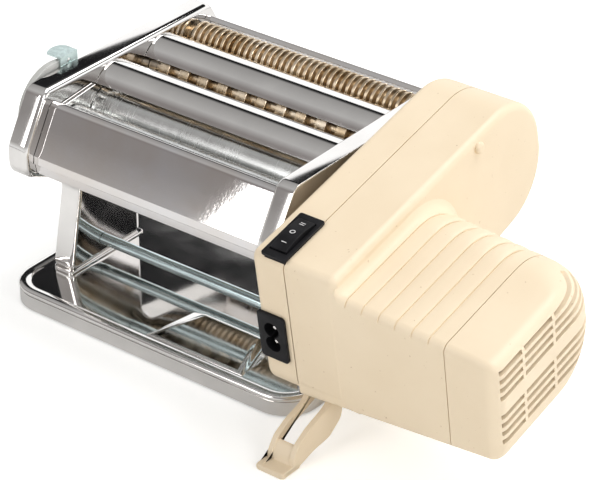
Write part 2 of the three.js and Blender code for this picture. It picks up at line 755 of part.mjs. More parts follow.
add(head, 'wide_comb_front', comb(wideFront, 1, WIDE_CUT, 0), zincPlate);
add(head, 'wide_comb_rear', comb(wideRear, -1, WIDE_CUT, 1), zincPlate);
add(head, 'narrow_comb_front', comb(narrowFront, 1, NARROW_CUT, 0), zincPlate);
add(head, 'narrow_comb_rear', comb(narrowRear, -1, NARROW_CUT, 1), zincPlate);

// Scrapers under the smooth rollers
function scraper(axis, side) {
  const reach = SMOOTH_RADIUS + GAP;
  const y = axis.y + side * reach * Math.sin(SCRAPER_ANGLE);
  const z = axis.z - reach * Math.cos(SCRAPER_ANGLE);
  const far = [y + side * SCRAPER_REACH, z - SCRAPER_FALL];
  const line = side > 0 ? [far, [y, z]] : [[y, z], far];
  return alongX(sheet(line, SCRAPER_SHEET), -spanHalf, spanHalf);
}

add(head, 'scraper_front', scraper(smoothFront, -1), zincPlate);
add(head, 'scraper_rear', scraper(smoothRear, 1), zincPlate);

// Dough guides: strips at the panels that reach down between the smooth rollers
function doughGuide(side) {
  const rearBack = FRONT_HOOD_BACK - HOOD_RADIUS + GAP * 2;
  const nip = (smoothFront.y + smoothRear.y) / 2;
  const slope = (GUIDE_FRONT_DROP - GUIDE_REAR_DROP) / (rearBack - GUIDE_FRONT_BACK);
  const nipDrop = GUIDE_FRONT_DROP - slope * (nip - GUIDE_FRONT_BACK) + GUIDE_NIP_DEPTH;
  const [x0, x1] = between(side, spanHalf - GUIDE_THICKNESS, spanHalf);
  return alongX(outline([
    [GUIDE_FRONT_BACK, -GUIDE_FRONT_DROP],
    [GUIDE_FRONT_BACK, -GUIDE_FRONT_DROP - GUIDE_HEIGHT],
    [smoothFront.y, -GUIDE_FRONT_DROP - GUIDE_HEIGHT],
    [nip, -nipDrop],
    [rearBack, -GUIDE_REAR_DROP - GUIDE_HEIGHT],
    [rearBack, -GUIDE_REAR_DROP],
  ]), x0, x1);
}

add(head, 'dough_guide_left', doughGuide(-1), chrome);
add(head, 'dough_guide_right', doughGuide(1), chrome);

// Bearing blocks carry the front smooth roller and slide to set the dough's thickness
function bearingBlock(side) {
  const [x0, x1] = between(side, halfWidth + PANEL_SHEET + GAP, halfWidth + PANEL_SHEET + GAP
    + BLOCK_THICKNESS);
  const block = alongX(outline([
    [-BLOCK_HALF_WIDTH, -BLOCK_HALF_HEIGHT, GAP], [BLOCK_HALF_WIDTH, -BLOCK_HALF_HEIGHT, GAP],
    [BLOCK_HALF_WIDTH, BLOCK_HALF_HEIGHT, GAP], [-BLOCK_HALF_WIDTH, BLOCK_HALF_HEIGHT, GAP],
  ]), x0, x1, 1);
  return cut(block, rod(x0 - PAST, x1 + PAST, 0, 0, JOURNAL_RADIUS + RUN, 16));
}

add(head, 'bearing_block_left', bearingBlock(-1), zincPlate)
  .position.set(0, smoothFront.y, smoothFront.z);
add(head, 'bearing_block_right', bearingBlock(1), zincPlate)
  .position.set(0, smoothFront.y, smoothFront.z);

// Spur gears. A gear has a tooth at its phase angle, measured from the back upwards.
function gearOutline(teeth, tip, root, phase, bore, rootShare = 0.29, tipShare = 0.12) {
  const step = Math.PI * 2 / teeth;
  const corners = [];
  for (let i = 0; i < teeth; i++) {
    for (const [radius, share] of [[root, -rootShare], [tip, -tipShare],
      [tip, tipShare], [root, rootShare]]) {
      const angle = phase + (i + share) * step;
      corners.push([radius * Math.cos(angle), radius * Math.sin(angle)]);
    }
  }
  const shape = outline(corners);
  if (bore > 0) {
    const hole = new THREE.Path();
    hole.absarc(0, 0, bore, 0, Math.PI * 2, true);
    shape.holes.push(hole);
  }
  return shape;
}

function bearingOf(from, to) {
  return Math.atan2(to.z - from.z, to.y - from.y);
}

function rollerGear(name, axis, partner, meshing, teeth, tip, root, rootShare, tipShare) {
  const phase = bearingOf(axis, partner) + (meshing ? Math.PI / teeth : 0);
  const shape = gearOutline(teeth, tip, root, phase, JOURNAL_RADIUS + GAP, rootShare, tipShare);
  add(head, name, alongX(shape, gearStart, gearEnd - GAP, 8), gearSteel)
    .position.set(0, axis.y, axis.z);
}

rollerGear('smooth_gear_front', smoothFront, smoothRear, false,
  SMOOTH_TEETH, SMOOTH_GEAR_TIP, SMOOTH_GEAR_ROOT, 0.24, 0.07);
rollerGear('smooth_gear_rear', smoothRear, smoothFront, true,
  SMOOTH_TEETH, SMOOTH_GEAR_TIP, SMOOTH_GEAR_ROOT, 0.24, 0.07);
rollerGear('wide_gear_front', wideFront, wideRear, false,
  CUTTER_TEETH, CUTTER_GEAR_TIP, CUTTER_GEAR_ROOT);
rollerGear('wide_gear_rear', wideRear, wideFront, true,
  CUTTER_TEETH, CUTTER_GEAR_TIP, CUTTER_GEAR_ROOT);
rollerGear('narrow_gear_front', narrowFront, narrowRear, false,
  CUTTER_TEETH, CUTTER_GEAR_TIP, CUTTER_GEAR_ROOT);
rollerGear('narrow_gear_rear', narrowRear, narrowFront, true,
  CUTTER_TEETH, CUTTER_GEAR_TIP, CUTTER_GEAR_ROOT);

// Cover plates close the mouths of both panels. The right one has a hole at each drive end.
const plateCorners = inset([
  [0, 0, TOP_ROUND],
  [-SLOPE_RUN, -SLOPE_DROP, KNEE_ROUND],
  [-SLOPE_RUN, -PLATE_HEEL_DROP, PLATE_HEEL_ROUND],
  [HEAD_TOP + SLOPE_RUN, -PLATE_HEEL_DROP, PLATE_HEEL_ROUND],
  [HEAD_TOP + SLOPE_RUN, -SLOPE_DROP, KNEE_ROUND],
  [HEAD_TOP, 0, TOP_ROUND],
], PANEL_SHEET + PLATE_PLAY);

function gearCover() {
  const holes = [smoothRear, wideRear, narrowFront].map(({ y, z }) =>
    rod(plateInner - PAST, plateOuter + PAST, y, z, DRIVE_RADIUS + RUN, 14));
  return cut(alongX(outline(plateCorners), plateInner, plateOuter, 2), ...holes);
}

function leftCover() {
  const hole = rod(-plateOuter - PAST, -plateInner + PAST, disc.y, disc.z, SEAT_RADIUS + RUN, 24);
  return cut(alongX(outline(plateCorners), -plateOuter, -plateInner, 2), hole);
}

add(head, 'gear_cover_right', gearCover(), chrome);
add(head, 'cover_plate_left', leftCover(), chrome);

// Tie rods hold the panels apart. Their studs pass the panels and take a nut each.
const nutInner = halfWidth + PANEL_SHEET + GAP;
const studEnd = nutInner + NUT_THICKNESS;

function tieRod() {
  return turned([
    [-studEnd, ROD_STUD_RADIUS], [-spanHalf, ROD_STUD_RADIUS], [-spanHalf, ROD_RADIUS],
    [spanHalf, ROD_RADIUS], [spanHalf, ROD_STUD_RADIUS], [studEnd, ROD_STUD_RADIUS],
  ], 12);
}

function hexNut(side) {
  const [x0, x1] = between(side, nutInner, nutInner + NUT_THICKNESS);
  return cut(rod(x0, x1, 0, 0, NUT_RADIUS, 6),
    rod(x0 - PAST, x1 + PAST, 0, 0, ROD_STUD_RADIUS + GAP, 12));
}

for (const [name, { y, z }] of Object.entries({ lower: lowerRod, upper: upperRod })) {
  add(head, `tie_rod_${name}`, tieRod(), zincPlate).position.set(0, y, z);
  add(head, `tie_rod_${name}_nut_left`, hexNut(-1), zincPlate).position.set(0, y, z);
  add(head, `tie_rod_${name}_nut_right`, hexNut(1), zincPlate).position.set(0, y, z);
}

// Thickness regulator: a disc that turns on a seat fixed to the left panel
const discInner = -(flangeRim + DISC_STANDOFF);
const discOuter = discInner - DISC_THICKNESS;
const panelOuter = -(halfWidth + PANEL_SHEET + GAP);

function regulatorSeat() {
  const bore = SEAT_RADIUS - SEAT_WALL;
  const ring = turned([
    [discOuter, SEAT_RADIUS], [panelOuter - SEAT_FLANGE, SEAT_RADIUS],
    [panelOuter - SEAT_FLANGE, SEAT_FLANGE_RADIUS], [panelOuter, SEAT_FLANGE_RADIUS],
  ], 24);
  const y = smoothFront.y - disc.y;
  const z = smoothFront.z - disc.z;
  const slot = box(
    panelOuter - BLOCK_THICKNESS - GAP, panelOuter + PAST,
    y - BLOCK_HALF_WIDTH - GAP, y + BLOCK_HALF_WIDTH + ROLLER_TRAVEL + GAP,
    z - BLOCK_HALF_HEIGHT - GAP, z + BLOCK_HALF_HEIGHT + GAP);
  return cut(ring, rod(discOuter + SEAT_WALL, panelOuter + PAST, 0, 0, bore, 20), slot);
}

function regulatorDisc() {
  const bore = SEAT_RADIUS + RUN;
  const profile = [
    [discOuter, bore], [discOuter, DISC_RADIUS - DISC_EDGE], [discOuter + DISC_EDGE, DISC_RADIUS],
    [discInner, DISC_RADIUS], [discInner, bore], [discOuter, bore],
  ].map(([x, r]) => new THREE.Vector2(r, x));
  return new THREE.LatheGeometry(profile, 32).rotateZ(-Math.PI / 2);
}

add(head, 'regulator_seat', regulatorSeat(), zincPlate).position.set(0, disc.y, disc.z);
add(head, 'regulator_disc', regulatorDisc(), greyPlastic).position.set(0, disc.y, disc.z);

// The spring lever turns with the disc: a ring behind it, an arm and a tongue over its rim
function regulatorLever() {
  const near = discInner + GAP;
  const far = near + LEVER_SHEET;
  const ring = rod(near, far, 0, 0, LEVER_RING, 24);
  const plate = alongX(outline([
    [LEVER_FRONT, 0], [LEVER_REAR, LEVER_RING / 2], [LEVER_REAR, LEVER_HEIGHT],
    [LEVER_FRONT, LEVER_HEIGHT],
  ]), near, far);
  const tongue = alongZ(outline([
    [near - LEVER_TONGUE, LEVER_FRONT, LEVER_FRONT_ROUND], [far, LEVER_FRONT], [far, LEVER_REAR],
    [near - LEVER_TONGUE, LEVER_REAR, LEVER_REAR_ROUND],
    [near - LEVER_TONGUE - LEVER_TIP, (LEVER_FRONT + LEVER_REAR) / 2, LEVER_TIP_ROUND],
  ]), LEVER_HEIGHT - LEVER_SHEET, LEVER_HEIGHT);
  return cut(join(ring, plate, tongue),
    rod(near - PAST, far + PAST, 0, 0, SEAT_RADIUS + RUN, 24),
    rod(near - PAST, far + PAST, LEVER_EYE_BACK, LEVER_EYE_RISE, LEVER_EYE_RADIUS, 12));
}

add(head, 'regulator_lever', regulatorLever(), zincPlate).position.set(0, disc.y, disc.z);

// Motor housing: an inner shell and an outer housing with the tapered motor body
const armCorners = [
  [ARM_FRONT, 0, ARM_TOP_ROUND],
  [-ARM_HEEL_AHEAD, -ARM_HEEL_DROP, ARM_HEEL_ROUND],
  [ARM_END, -ARM_END_DROP, ARM_END_ROUND],
  [ARM_END, 0, ARM_END_ROUND],
];
const bodyCorners = [
  [BODY_FRONT, -BODY_TOP, BODY_FRONT_ROUND],
  [BODY_FRONT - BODY_BOTTOM_AHEAD, -BODY_BOTTOM, BODY_FRONT_ROUND],
  [BODY_REAR, -BODY_BOTTOM, BODY_REAR_ROUND],
  [BODY_REAR, -BODY_TOP, BODY_REAR_ROUND],
];

const tapering = (x) => (x - ARM_DEPTH) / (CAP_SEAM - ARM_DEPTH);
const taperedLevel = (z, x) => -TAPER_LEVEL + (z + TAPER_LEVEL) * (1 - BODY_TAPER_HEIGHT * tapering(x));

function tapered(geometry) {
  const places = geometry.attributes.position;
  for (let i = 0; i < places.count; i++) {
    const depth = 1 - BODY_TAPER_DEPTH * tapering(places.getX(i));
    places.setY(i, BODY_FRONT + (places.getY(i) - BODY_FRONT) * depth);
    places.setZ(i, taperedLevel(places.getZ(i), places.getX(i)));
  }
  return geometry;
}

function bodyForm(wall, from, to) {
  const end = CAP_FACE - wall;
  const reach = ARM_END;
  const form = tapered(alongX(outline(inset(bodyCorners, wall)), from, to, 4));
  const plan = alongZ(outline([
    [-reach, BODY_FRONT - BODY_BOTTOM_AHEAD - PAST + wall],
    [end, BODY_FRONT - BODY_BOTTOM_AHEAD + wall, CAP_FRONT_ROUND],
    [end, BODY_REAR - wall - PAST, CAP_REAR_ROUND],
    [-reach, BODY_REAR - wall + PAST],
  ]), -reach, reach, 4);
  const top = -BODY_TOP - wall;
  const bottom = -BODY_BOTTOM + wall;
  const side = alongY(outline([
    [taperedLevel(bottom, -reach), -reach],
    [taperedLevel(bottom, end), end, CAP_TOP_ROUND],
    [taperedLevel(top, end), end, CAP_TOP_ROUND],
    [taperedLevel(top, -reach), -reach],
  ]), -reach, reach, 2);
  return to > CAP_SEAM + PAST ? common(form, plan, side) : form;
}

// Where the body grows out of the arm it flares, inside the arm's own outline
function bodyRoot() {
  const flare = (spread, length) => tapered(alongX(outline(inset(bodyCorners, -spread)),
    ARM_DEPTH - length, ARM_DEPTH + length, 3));
  return [[ROOT_SPREAD, ROOT_INNER_LENGTH], [ROOT_INNER_SPREAD, ROOT_LENGTH]]
    .map(([spread, length]) => common(flare(spread, length),
      alongX(outline(armCorners), 0, ARM_DEPTH + length * 2, 3)));
}

// Thin grooves run over the top of the body from its front face to its rear shoulder
function grooveTools() {
  const inside = bodyForm(GROOVE_DEPTH, ARM_DEPTH, CAP_SEAM);
  return Array.from({ length: BODY_GROOVES }, (_, i) => {
    const middle = GROOVE_FIRST + i * GROOVE_PITCH;
    return cut(box(middle - GROOVE_WIDTH / 2, middle + GROOVE_WIDTH / 2,
      BODY_FRONT * 2, GROOVE_REAR, -GROOVE_DROP, PAST), inside);
  });
}

// Axes of the gear train in the arm's frame, from the output back to the motor
const outputAxis = new THREE.Vector3(0, narrowFront.y + ARM_AHEAD, narrowFront.z + ARM_DROP)
  .applyAxisAngle(new THREE.Vector3(1, 0, 0), -ARM_TILT);
const pitchRadius = (teeth) => TRAIN_MODULE * teeth / 2;
const trainStep = (from, reach) => ({
  y: from.y - reach * Math.cos(TRAIN_BEARING),
  z: from.z - reach * Math.sin(TRAIN_BEARING),
});
const output = { y: outputAxis.y, z: outputAxis.z };
const idlerRear = trainStep(output, pitchRadius(OUTPUT_TEETH) + pitchRadius(IDLER_TEETH));
const idlerFront = trainStep(idlerRear, pitchRadius(IDLER_TEETH) * 2);
const motorAxis = trainStep(idlerFront, pitchRadius(IDLER_TEETH) + pitchRadius(PINION_TEETH));
const trainEnd = TRAIN_START + TRAIN_THICKNESS;

// Openings for the switch, at the seam on the top face, and for the inlet on the front face
const switchHole = () => {
  const halfWidthHere = SWITCH_WIDTH / 2 - SWITCH_BODY_MARGIN + GAP;
  const halfLength = SWITCH_LENGTH / 2 - SWITCH_BODY_MARGIN + GAP;
  return box(SWITCH_CENTRE_X - halfWidthHere, SWITCH_CENTRE_X + halfWidthHere,
    SWITCH_CENTRE_Y - halfLength, SWITCH_CENTRE_Y + halfLength, -SWITCH_BODY_DEPTH, PAST);
};
const faceLean = Math.atan((ARM_HEEL_AHEAD + ARM_FRONT) / ARM_HEEL_DROP);
const inletMatrix = new THREE.Matrix4().makeRotationX(-faceLean).setPosition(
  GAP + INLET_WIDTH / 2, ARM_FRONT - INLET_CENTRE_DROP * Math.tan(faceLean), -INLET_CENTRE_DROP);
const inletHole = () => moved(box(
  -INLET_WIDTH / 2 + INLET_BODY_MARGIN - GAP, INLET_WIDTH / 2 - INLET_BODY_MARGIN + GAP,
  -PAST, INLET_BODY_DEPTH + PAST,
  -INLET_HEIGHT / 2 + INLET_BODY_MARGIN - GAP, INLET_HEIGHT / 2 - INLET_BODY_MARGIN + GAP,
), inletMatrix);

function innerShell() {
  const reach = ARM_END * 2;
  const form = cut(
    alongX(outline(armCorners), 0, SHELL_DEPTH + ARM_EDGE * 2, 3, ARM_EDGE),
    box(SHELL_DEPTH, reach, -reach, reach, -reach, reach));
  const hollow = alongX(outline(inset(armCorners, ARM_WALL)), ARM_WALL, SHELL_DEPTH + PAST, 3);
  const posts = [idlerRear, idlerFront].map(({ y, z }) =>
    rod(ARM_WALL - GAP, trainEnd, y, z, AXLE_RADIUS, 14));
  const bosses = [idlerRear, idlerFront, motorAxis].map(({ y, z }) =>
    rod(ARM_WALL - GAP, TRAIN_START - GAP, y, z, AXLE_BOSS, 14));
  const shaftBore = rod(ARM_WALL / 2, SHELL_DEPTH, motorAxis.y, motorAxis.z, AXLE_RADIUS + RUN, 14);
  const driveBore = rod(-PAST, TRAIN_START, output.y, output.z, DRIVE_RADIUS + RUN, 16);
  const shell = cut(form, hollow, switchHole(), inletHole(), driveBore);
  return cut(join(shell, ...posts, ...bosses), shaftBore);
}

function motorHousing() {
  const reach = ARM_END * 2;
  const seam = SHELL_DEPTH + GAP;
  const armForm = cut(
    alongX(outline(armCorners), seam - ARM_EDGE * 2, ARM_DEPTH, 3, ARM_EDGE),
    box(-reach, seam, -reach, reach, -reach, reach));
  const form = join(armForm, bodyForm(0, seam, CAP_SEAM));
  const armHollow = alongX(outline(inset(armCorners, ARM_WALL)), seam - PAST, ARM_DEPTH - ARM_WALL, 3);
  const bodyHollow = bodyForm(ARM_WALL, seam + PAST, CAP_SEAM + PAST);
  const ears = propEars();
  return join(cut(join(form, ...bodyRoot()), armHollow, bodyHollow, switchHole(), ...grooveTools()),
    ...ears);
}

function ventTools() {
  const tools = [];
  for (let row = 0; row < VENT_ROWS * 2; row++) {
    const below = row >= VENT_ROWS ? VENT_BAND - VENT_PITCH + VENT_HEIGHT : 0;
    const top = -VENT_TOP - row * VENT_PITCH - below;
    const bottom = top - VENT_HEIGHT;
    let from = VENT_FIRST + (top + VENT_TOP) * VENT_LEAN;
    for (const bay of VENT_BAYS) {
      tools.push(box(CAP_FACE - VENT_DEPTH, CAP_FACE + PAST, from, from + bay, bottom, top));
      from += bay + VENT_RIB;
    }
    tools.push(box(VENT_WRAP, CAP_FACE + PAST, from, BODY_REAR + PAST, bottom, top));
  }
  return tools;
}

function endCap() {
  const form = bodyForm(0, CAP_SEAM + GAP, CAP_FACE);
  const hollow = bodyForm(ARM_WALL, CAP_SEAM - PAST, CAP_FACE - ARM_WALL);
  return cut(form, hollow, ...ventTools());
}

// Ears under the housing take the pin of the support foot
const pivotWorld = new THREE.Vector3(0, PROP_PIVOT_BACK + ARM_AHEAD, -PROP_PIVOT_DROP + ARM_DROP)
  .applyAxisAngle(new THREE.Vector3(1, 0, 0), -ARM_TILT);
const propLeft = PROP_LEFT - ARM_LEFT;
const propRight = propLeft + PROP_WIDTH;

function propEars() {
  const half = PROP_PIVOT_BOSS;
  const { y, z } = pivotWorld;
  const top = -BODY_BOTTOM + ARM_WALL;
  return [[propLeft + PROP_RIB + PROP_PLAY + GAP, PROP_EAR], [propRight + PROP_PLAY, PROP_EAR]]
    .map(([x, width]) => {
      const from = Math.max(x, SHELL_DEPTH + GAP);
      const plate = alongX(outline([
        [y - half, z - half, half - GAP], [y + half, z - half, half - GAP],
        [y + half, top], [y - half, top],
      ]), from, from + width, 2);
      return cut(plate, rod(from - PAST, from + width + PAST, y, z, PROP_PIN_RADIUS + GAP, 12));
    });
}

add(arm, 'arm_inner_shell', innerShell(), creamPlastic);
add(arm, 'motor_housing', motorHousing(), creamPlastic);
add(arm, 'end_cap', endCap(), creamPlastic);

// Three-position rocker switch, snapped into the top face across the seam
function switchBody() {
  const x = SWITCH_WIDTH / 2;
  const y = SWITCH_LENGTH / 2;
  const m = SWITCH_BODY_MARGIN;
  const w = ROCKER_WIDTH / 2 + ROCKER_PLAY;
  const l = ROCKER_LENGTH / 2 + ROCKER_PLAY;
  const rim = alongZ(roundedRectangle(SWITCH_WIDTH, SWITCH_LENGTH, SWITCH_CORNER), GAP,
    SWITCH_RIM + GAP, 1);
  const body = box(-x + m, x - m, -y + m, y - m, -SWITCH_BODY_DEPTH + m, GAP * 2);
  const well = box(-w, w, -l, l, -SWITCH_BODY_DEPTH + SWITCH_FLOOR, SWITCH_RIM + PAST);
  return cut(join(rim, body), well).translate(SWITCH_CENTRE_X, SWITCH_CENTRE_Y, 0);
}

function switchRocker() {
  const half = ROCKER_LENGTH / 2;
  const crown = SWITCH_RIM + ROCKER_RISE;
  const end = crown - half * Math.tan(ROCKER_SWING);
  const flank = half - (crown + ROCKER_DEPTH) * Math.tan(ROCKER_SWING) / 2;
  return alongX(outline([
    [-flank, -ROCKER_DEPTH], [flank, -ROCKER_DEPTH], [half, end], [0, crown, ROCKER_LENGTH],
    [-half, end],
  ]), -ROCKER_WIDTH / 2, ROCKER_WIDTH / 2).translate(SWITCH_CENTRE_X, SWITCH_CENTRE_Y, 0);
}

add(arm, 'switch_body', switchBody(), blackPlastic);
add(arm, 'switch_rocker', switchRocker(), blackPlastic);

// Mains inlet with a figure-eight well and two pins
function inletBody() {
  const x = INLET_WIDTH / 2;
  const z = INLET_HEIGHT / 2;
  const m = INLET_BODY_MARGIN;
  const rim = box(-x, x, -INLET_RIM - GAP, -GAP, -z, z);
  const body = box(-x + m, x - m, -GAP * 2, INLET_BODY_DEPTH, -z + m, z - m);
  const well = new THREE.Shape();
  const up = INLET_PIN_SPACING / 2;
  const waist = Math.acos(up / INLET_WELL_RADIUS);
  well.absarc(up, 0, INLET_WELL_RADIUS, waist - Math.PI, Math.PI - waist, false);
  well.absarc(-up, 0, INLET_WELL_RADIUS, waist, -waist, false);
  well.closePath();
  const tool = alongY(well, -INLET_RIM - PAST, INLET_WELL_DEPTH - INLET_RIM, 5);
  return moved(cut(join(rim, body), tool), inletMatrix);
}

function inletPin(side) {
  const root = INLET_WELL_DEPTH - INLET_RIM - GAP;
  const shape = new THREE.Shape();
  shape.absarc(side * INLET_PIN_SPACING / 2, 0, INLET_PIN_RADIUS, 0, Math.PI * 2);
  return moved(alongY(shape, root - INLET_PIN_LENGTH, root, 5), inletMatrix);
}

add(arm, 'inlet_body', inletBody(), blackPlastic);
add(arm, 'inlet_pin_upper', inletPin(1), chrome);
add(arm, 'inlet_pin_lower', inletPin(-1), chrome);

// Gear train in the arm: output gear on the drive shaft, two idlers and the motor's pinion
function trainGear(teeth, partnerBearing, meshing, bore) {
  const radius = pitchRadius(teeth);
  const phase = partnerBearing + (meshing ? Math.PI / teeth : 0);
  return alongX(gearOutline(teeth, radius + TRAIN_MODULE * 0.85, radius - TRAIN_MODULE * 1.1,
    phase, bore), TRAIN_START, trainEnd - GAP, 8);
}

function driveGear() {
  const bladeEnd = dogSlot - ARM_LEFT + GAP;
  const shaftEnd = dogEnd - ARM_LEFT + GAP;
  const gear = trainGear(OUTPUT_TEETH, TRAIN_BEARING + Math.PI, false, 0);
  const shaft = rod(shaftEnd, TRAIN_START + PAST, 0, 0, DRIVE_RADIUS, 16);
  const half = JOURNAL_RADIUS - GAP;
  const blade = box(bladeEnd, shaftEnd + PAST, -half, half, -DRIVE_BLADE / 2, DRIVE_BLADE / 2)
    .rotateX(-ARM_TILT);
  return join(gear, shaft, blade);
}

add(arm, 'drive_gear', driveGear(), whiteNylon).position.set(0, output.y, output.z);
add(arm, 'idler_gear_rear', trainGear(IDLER_TEETH, TRAIN_BEARING, true, AXLE_RADIUS + RUN), whiteNylon)
  .position.set(0, idlerRear.y, idlerRear.z);
add(arm, 'idler_gear_front', trainGear(IDLER_TEETH, TRAIN_BEARING, false, AXLE_RADIUS + RUN), whiteNylon)
  .position.set(0, idlerFront.y, idlerFront.z);

// The motor's shaft carries the pinion at one end and the fan at the other
const canRadius = motorAxis.z - taperedLevel(-BODY_BOTTOM, MOTOR_END) - ARM_WALL - GAP;

function motorShaft() {
  const fanStart = MOTOR_END + FAN_STANDOFF;
  const fanEnd = fanStart + FAN_DEPTH;
  const pinion = trainGear(PINION_TEETH, TRAIN_BEARING, true, 0);
  const shaft = rod(ARM_WALL, fanEnd, 0, 0, AXLE_RADIUS, 10);
  const hub = rod(fanStart, fanEnd - GAP, 0, 0, FAN_HUB, 12);
  const blades = Array.from({ length: FAN_BLADES }, (_, i) =>
    box(fanStart + GAP, fanEnd - GAP * 2, FAN_HUB / 2, FAN_RADIUS,
      -FAN_BLADE_SHEET / 2, FAN_BLADE_SHEET / 2).rotateX(i * Math.PI * 2 / FAN_BLADES));
  return join(pinion, shaft, hub, ...blades);
}

function motorCan() {
  const bore = AXLE_RADIUS + RUN;
  return cut(rod(MOTOR_START, MOTOR_END, 0, 0, canRadius, 28),
    rod(MOTOR_START - PAST, MOTOR_END + PAST, 0, 0, bore, 14));
}

add(arm, 'motor_shaft', motorShaft(), satinSteel).position.set(0, motorAxis.y, motorAxis.z);
add(arm, 'motor_can', motorCan(), satinSteel).position.set(0, motorAxis.y, motorAxis.z);

// Support foot: curved ribs on a pad, hinged under the housing on a steel pin
const pivot = { y: PROP_PIVOT_BACK, z: -PROP_PIVOT_DROP };
const table = -MACHINE_HEIGHT;

function propRib(x0, x1) {
  const padBack = pivot.y - PROP_PAD_AHEAD + PROP_PAD_LENGTH / 2;
  const padFront = padBack - PROP_PAD_LENGTH;
  const padTop = table + PROP_PAD_HEIGHT;
  const shape = new THREE.Shape();
  shape.moveTo(padFront + PROP_RIB, padTop - GAP);
  shape.lineTo(padBack, padTop - GAP);
  shape.quadraticCurveTo(padBack, pivot.z - PROP_PIVOT_BOSS * 2, pivot.y, pivot.z - PROP_PIVOT_BOSS);
  shape.absarc(pivot.y, pivot.z, PROP_PIVOT_BOSS, -Math.PI / 2, Math.PI / 2, false);
  shape.quadraticCurveTo(padFront + PROP_RIB, pivot.z + PROP_PIVOT_BOSS, padFront + PROP_RIB,
    padTop - GAP);
  return alongX(shape, x0, x1, 5);
}

function supportFoot() {
  const padBack = pivot.y - PROP_PAD_AHEAD + PROP_PAD_LENGTH / 2;
  const padFront = padBack - PROP_PAD_LENGTH;
  const right = PROP_LEFT + PROP_PAD_WIDTH;
  const pad = box(PROP_LEFT - PROP_RIB / 2, right + PROP_RIB / 2, padFront, padBack, table,
    table + PROP_PAD_HEIGHT);
  const ribs = [PROP_LEFT, right - PROP_RIB].map((x) => propRib(x, x + PROP_RIB));
  const far = PROP_LEFT + PROP_WIDTH;
  const barrel = rod(right - PROP_RIB, far, pivot.y, pivot.z, PROP_PIVOT_BOSS, 16);
  const web = common(
    propRib(PROP_LEFT + GAP, right - GAP),
    box(PROP_LEFT, right, padFront, padBack + PROP_WEB, table, table + PROP_PAD_HEIGHT * 4));
  const bore = rod(PROP_LEFT - PAST, far + PAST, pivot.y, pivot.z, PROP_PIN_RADIUS + RUN, 12);
  return cut(join(pad, ...ribs, barrel, web), bore);
}

add(head, 'support_foot', supportFoot(), creamPlastic);
add(head, 'support_foot_pin', rod(PROP_LEFT - GAP, PROP_LEFT + PROP_WIDTH + PROP_EAR + GAP,
  pivot.y, pivot.z, PROP_PIN_RADIUS, 12), zincPlate);

// The origin lies under the middle of the whole object, on the table
const bounds = new THREE.Box3().setFromObject(machine, true);
const centre = bounds.getCenter(new THREE.Vector3());
machine.position.set(-centre.x, -centre.y, 0);

export default machine;
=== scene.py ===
import json
import math

import bmesh
import bpy
from mathutils import Matrix, Vector

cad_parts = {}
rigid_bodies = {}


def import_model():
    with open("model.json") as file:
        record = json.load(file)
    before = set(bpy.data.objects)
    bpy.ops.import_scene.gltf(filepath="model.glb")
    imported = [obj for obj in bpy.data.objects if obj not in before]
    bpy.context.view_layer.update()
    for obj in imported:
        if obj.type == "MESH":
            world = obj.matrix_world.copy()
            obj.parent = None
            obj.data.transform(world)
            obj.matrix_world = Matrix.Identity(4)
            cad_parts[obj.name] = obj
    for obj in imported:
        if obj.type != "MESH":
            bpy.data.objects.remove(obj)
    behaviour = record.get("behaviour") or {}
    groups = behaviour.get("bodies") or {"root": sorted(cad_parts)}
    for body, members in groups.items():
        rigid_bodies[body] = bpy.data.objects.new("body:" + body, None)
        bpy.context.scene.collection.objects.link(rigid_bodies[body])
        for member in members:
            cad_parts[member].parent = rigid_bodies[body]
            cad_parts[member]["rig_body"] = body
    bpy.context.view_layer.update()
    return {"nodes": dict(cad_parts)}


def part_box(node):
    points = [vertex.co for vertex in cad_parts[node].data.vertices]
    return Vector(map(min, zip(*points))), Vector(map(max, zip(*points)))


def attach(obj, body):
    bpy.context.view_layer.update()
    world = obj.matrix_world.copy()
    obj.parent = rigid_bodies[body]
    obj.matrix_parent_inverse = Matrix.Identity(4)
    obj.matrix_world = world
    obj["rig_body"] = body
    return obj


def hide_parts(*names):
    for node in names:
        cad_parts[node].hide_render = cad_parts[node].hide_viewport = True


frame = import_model()

# STUDIO
# A pale floor in a room that the chrome mirrors: white low at the back, black above that and
# grey overhead. A large soft lamp hangs over the back right, and two weaker ones fill in
# from the front and the right.
scene = bpy.context.scene
scene.view_settings.view_transform = "Standard"
MM = 0.001
corner_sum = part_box("base_plate")[0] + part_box("base_plate")[1]
BASE_MIDDLE = Vector((corner_sum[0] / 2, corner_sum[1] / 2, 0))
LENS = 158.83
EYE_PLACE = (753.8, -904.6, 739.1)
EYE_TURN = (90 - 30.544, 0, 37.754)
FLOOR_RADIUS = 6
FLOOR_DROP = 0.0002
FLOOR_GLOW = 0.42  # seen by the camera only
LAMPS = {  # place, target, size, power
    "overhead": ((0.5, 0.7, 1.6), (0, 0, 0.08), (1.3, 0.9), 22),
    "front_fill": ((-0.545, -1.365, 0.95), (0, 0, 0.06), (0.8, 1.0), 8),
    "right_fill": ((1.7, -0.5, 0.8), (0.1, 0, 0.06), (0.6, 0.9), 10),
}
ROOM = (  # from the horizon at the back over the top to the horizon in front
    (0.0, (1.2, 1.2, 1.2)), (0.1995, (1.2, 1.2, 1.2)), (0.203, (0.012, 0.012, 0.013)),
    (0.26, (0.02, 0.02, 0.021)), (0.31, (0.34, 0.335, 0.33)), (0.6, (0.5, 0.495, 0.49)),
    (0.74, (0.26, 0.24, 0.235)), (0.85, (0.3, 0.285, 0.28)), (0.93, (0.6, 0.59, 0.58)),
    (1.0, (0.9, 0.9, 0.9)))


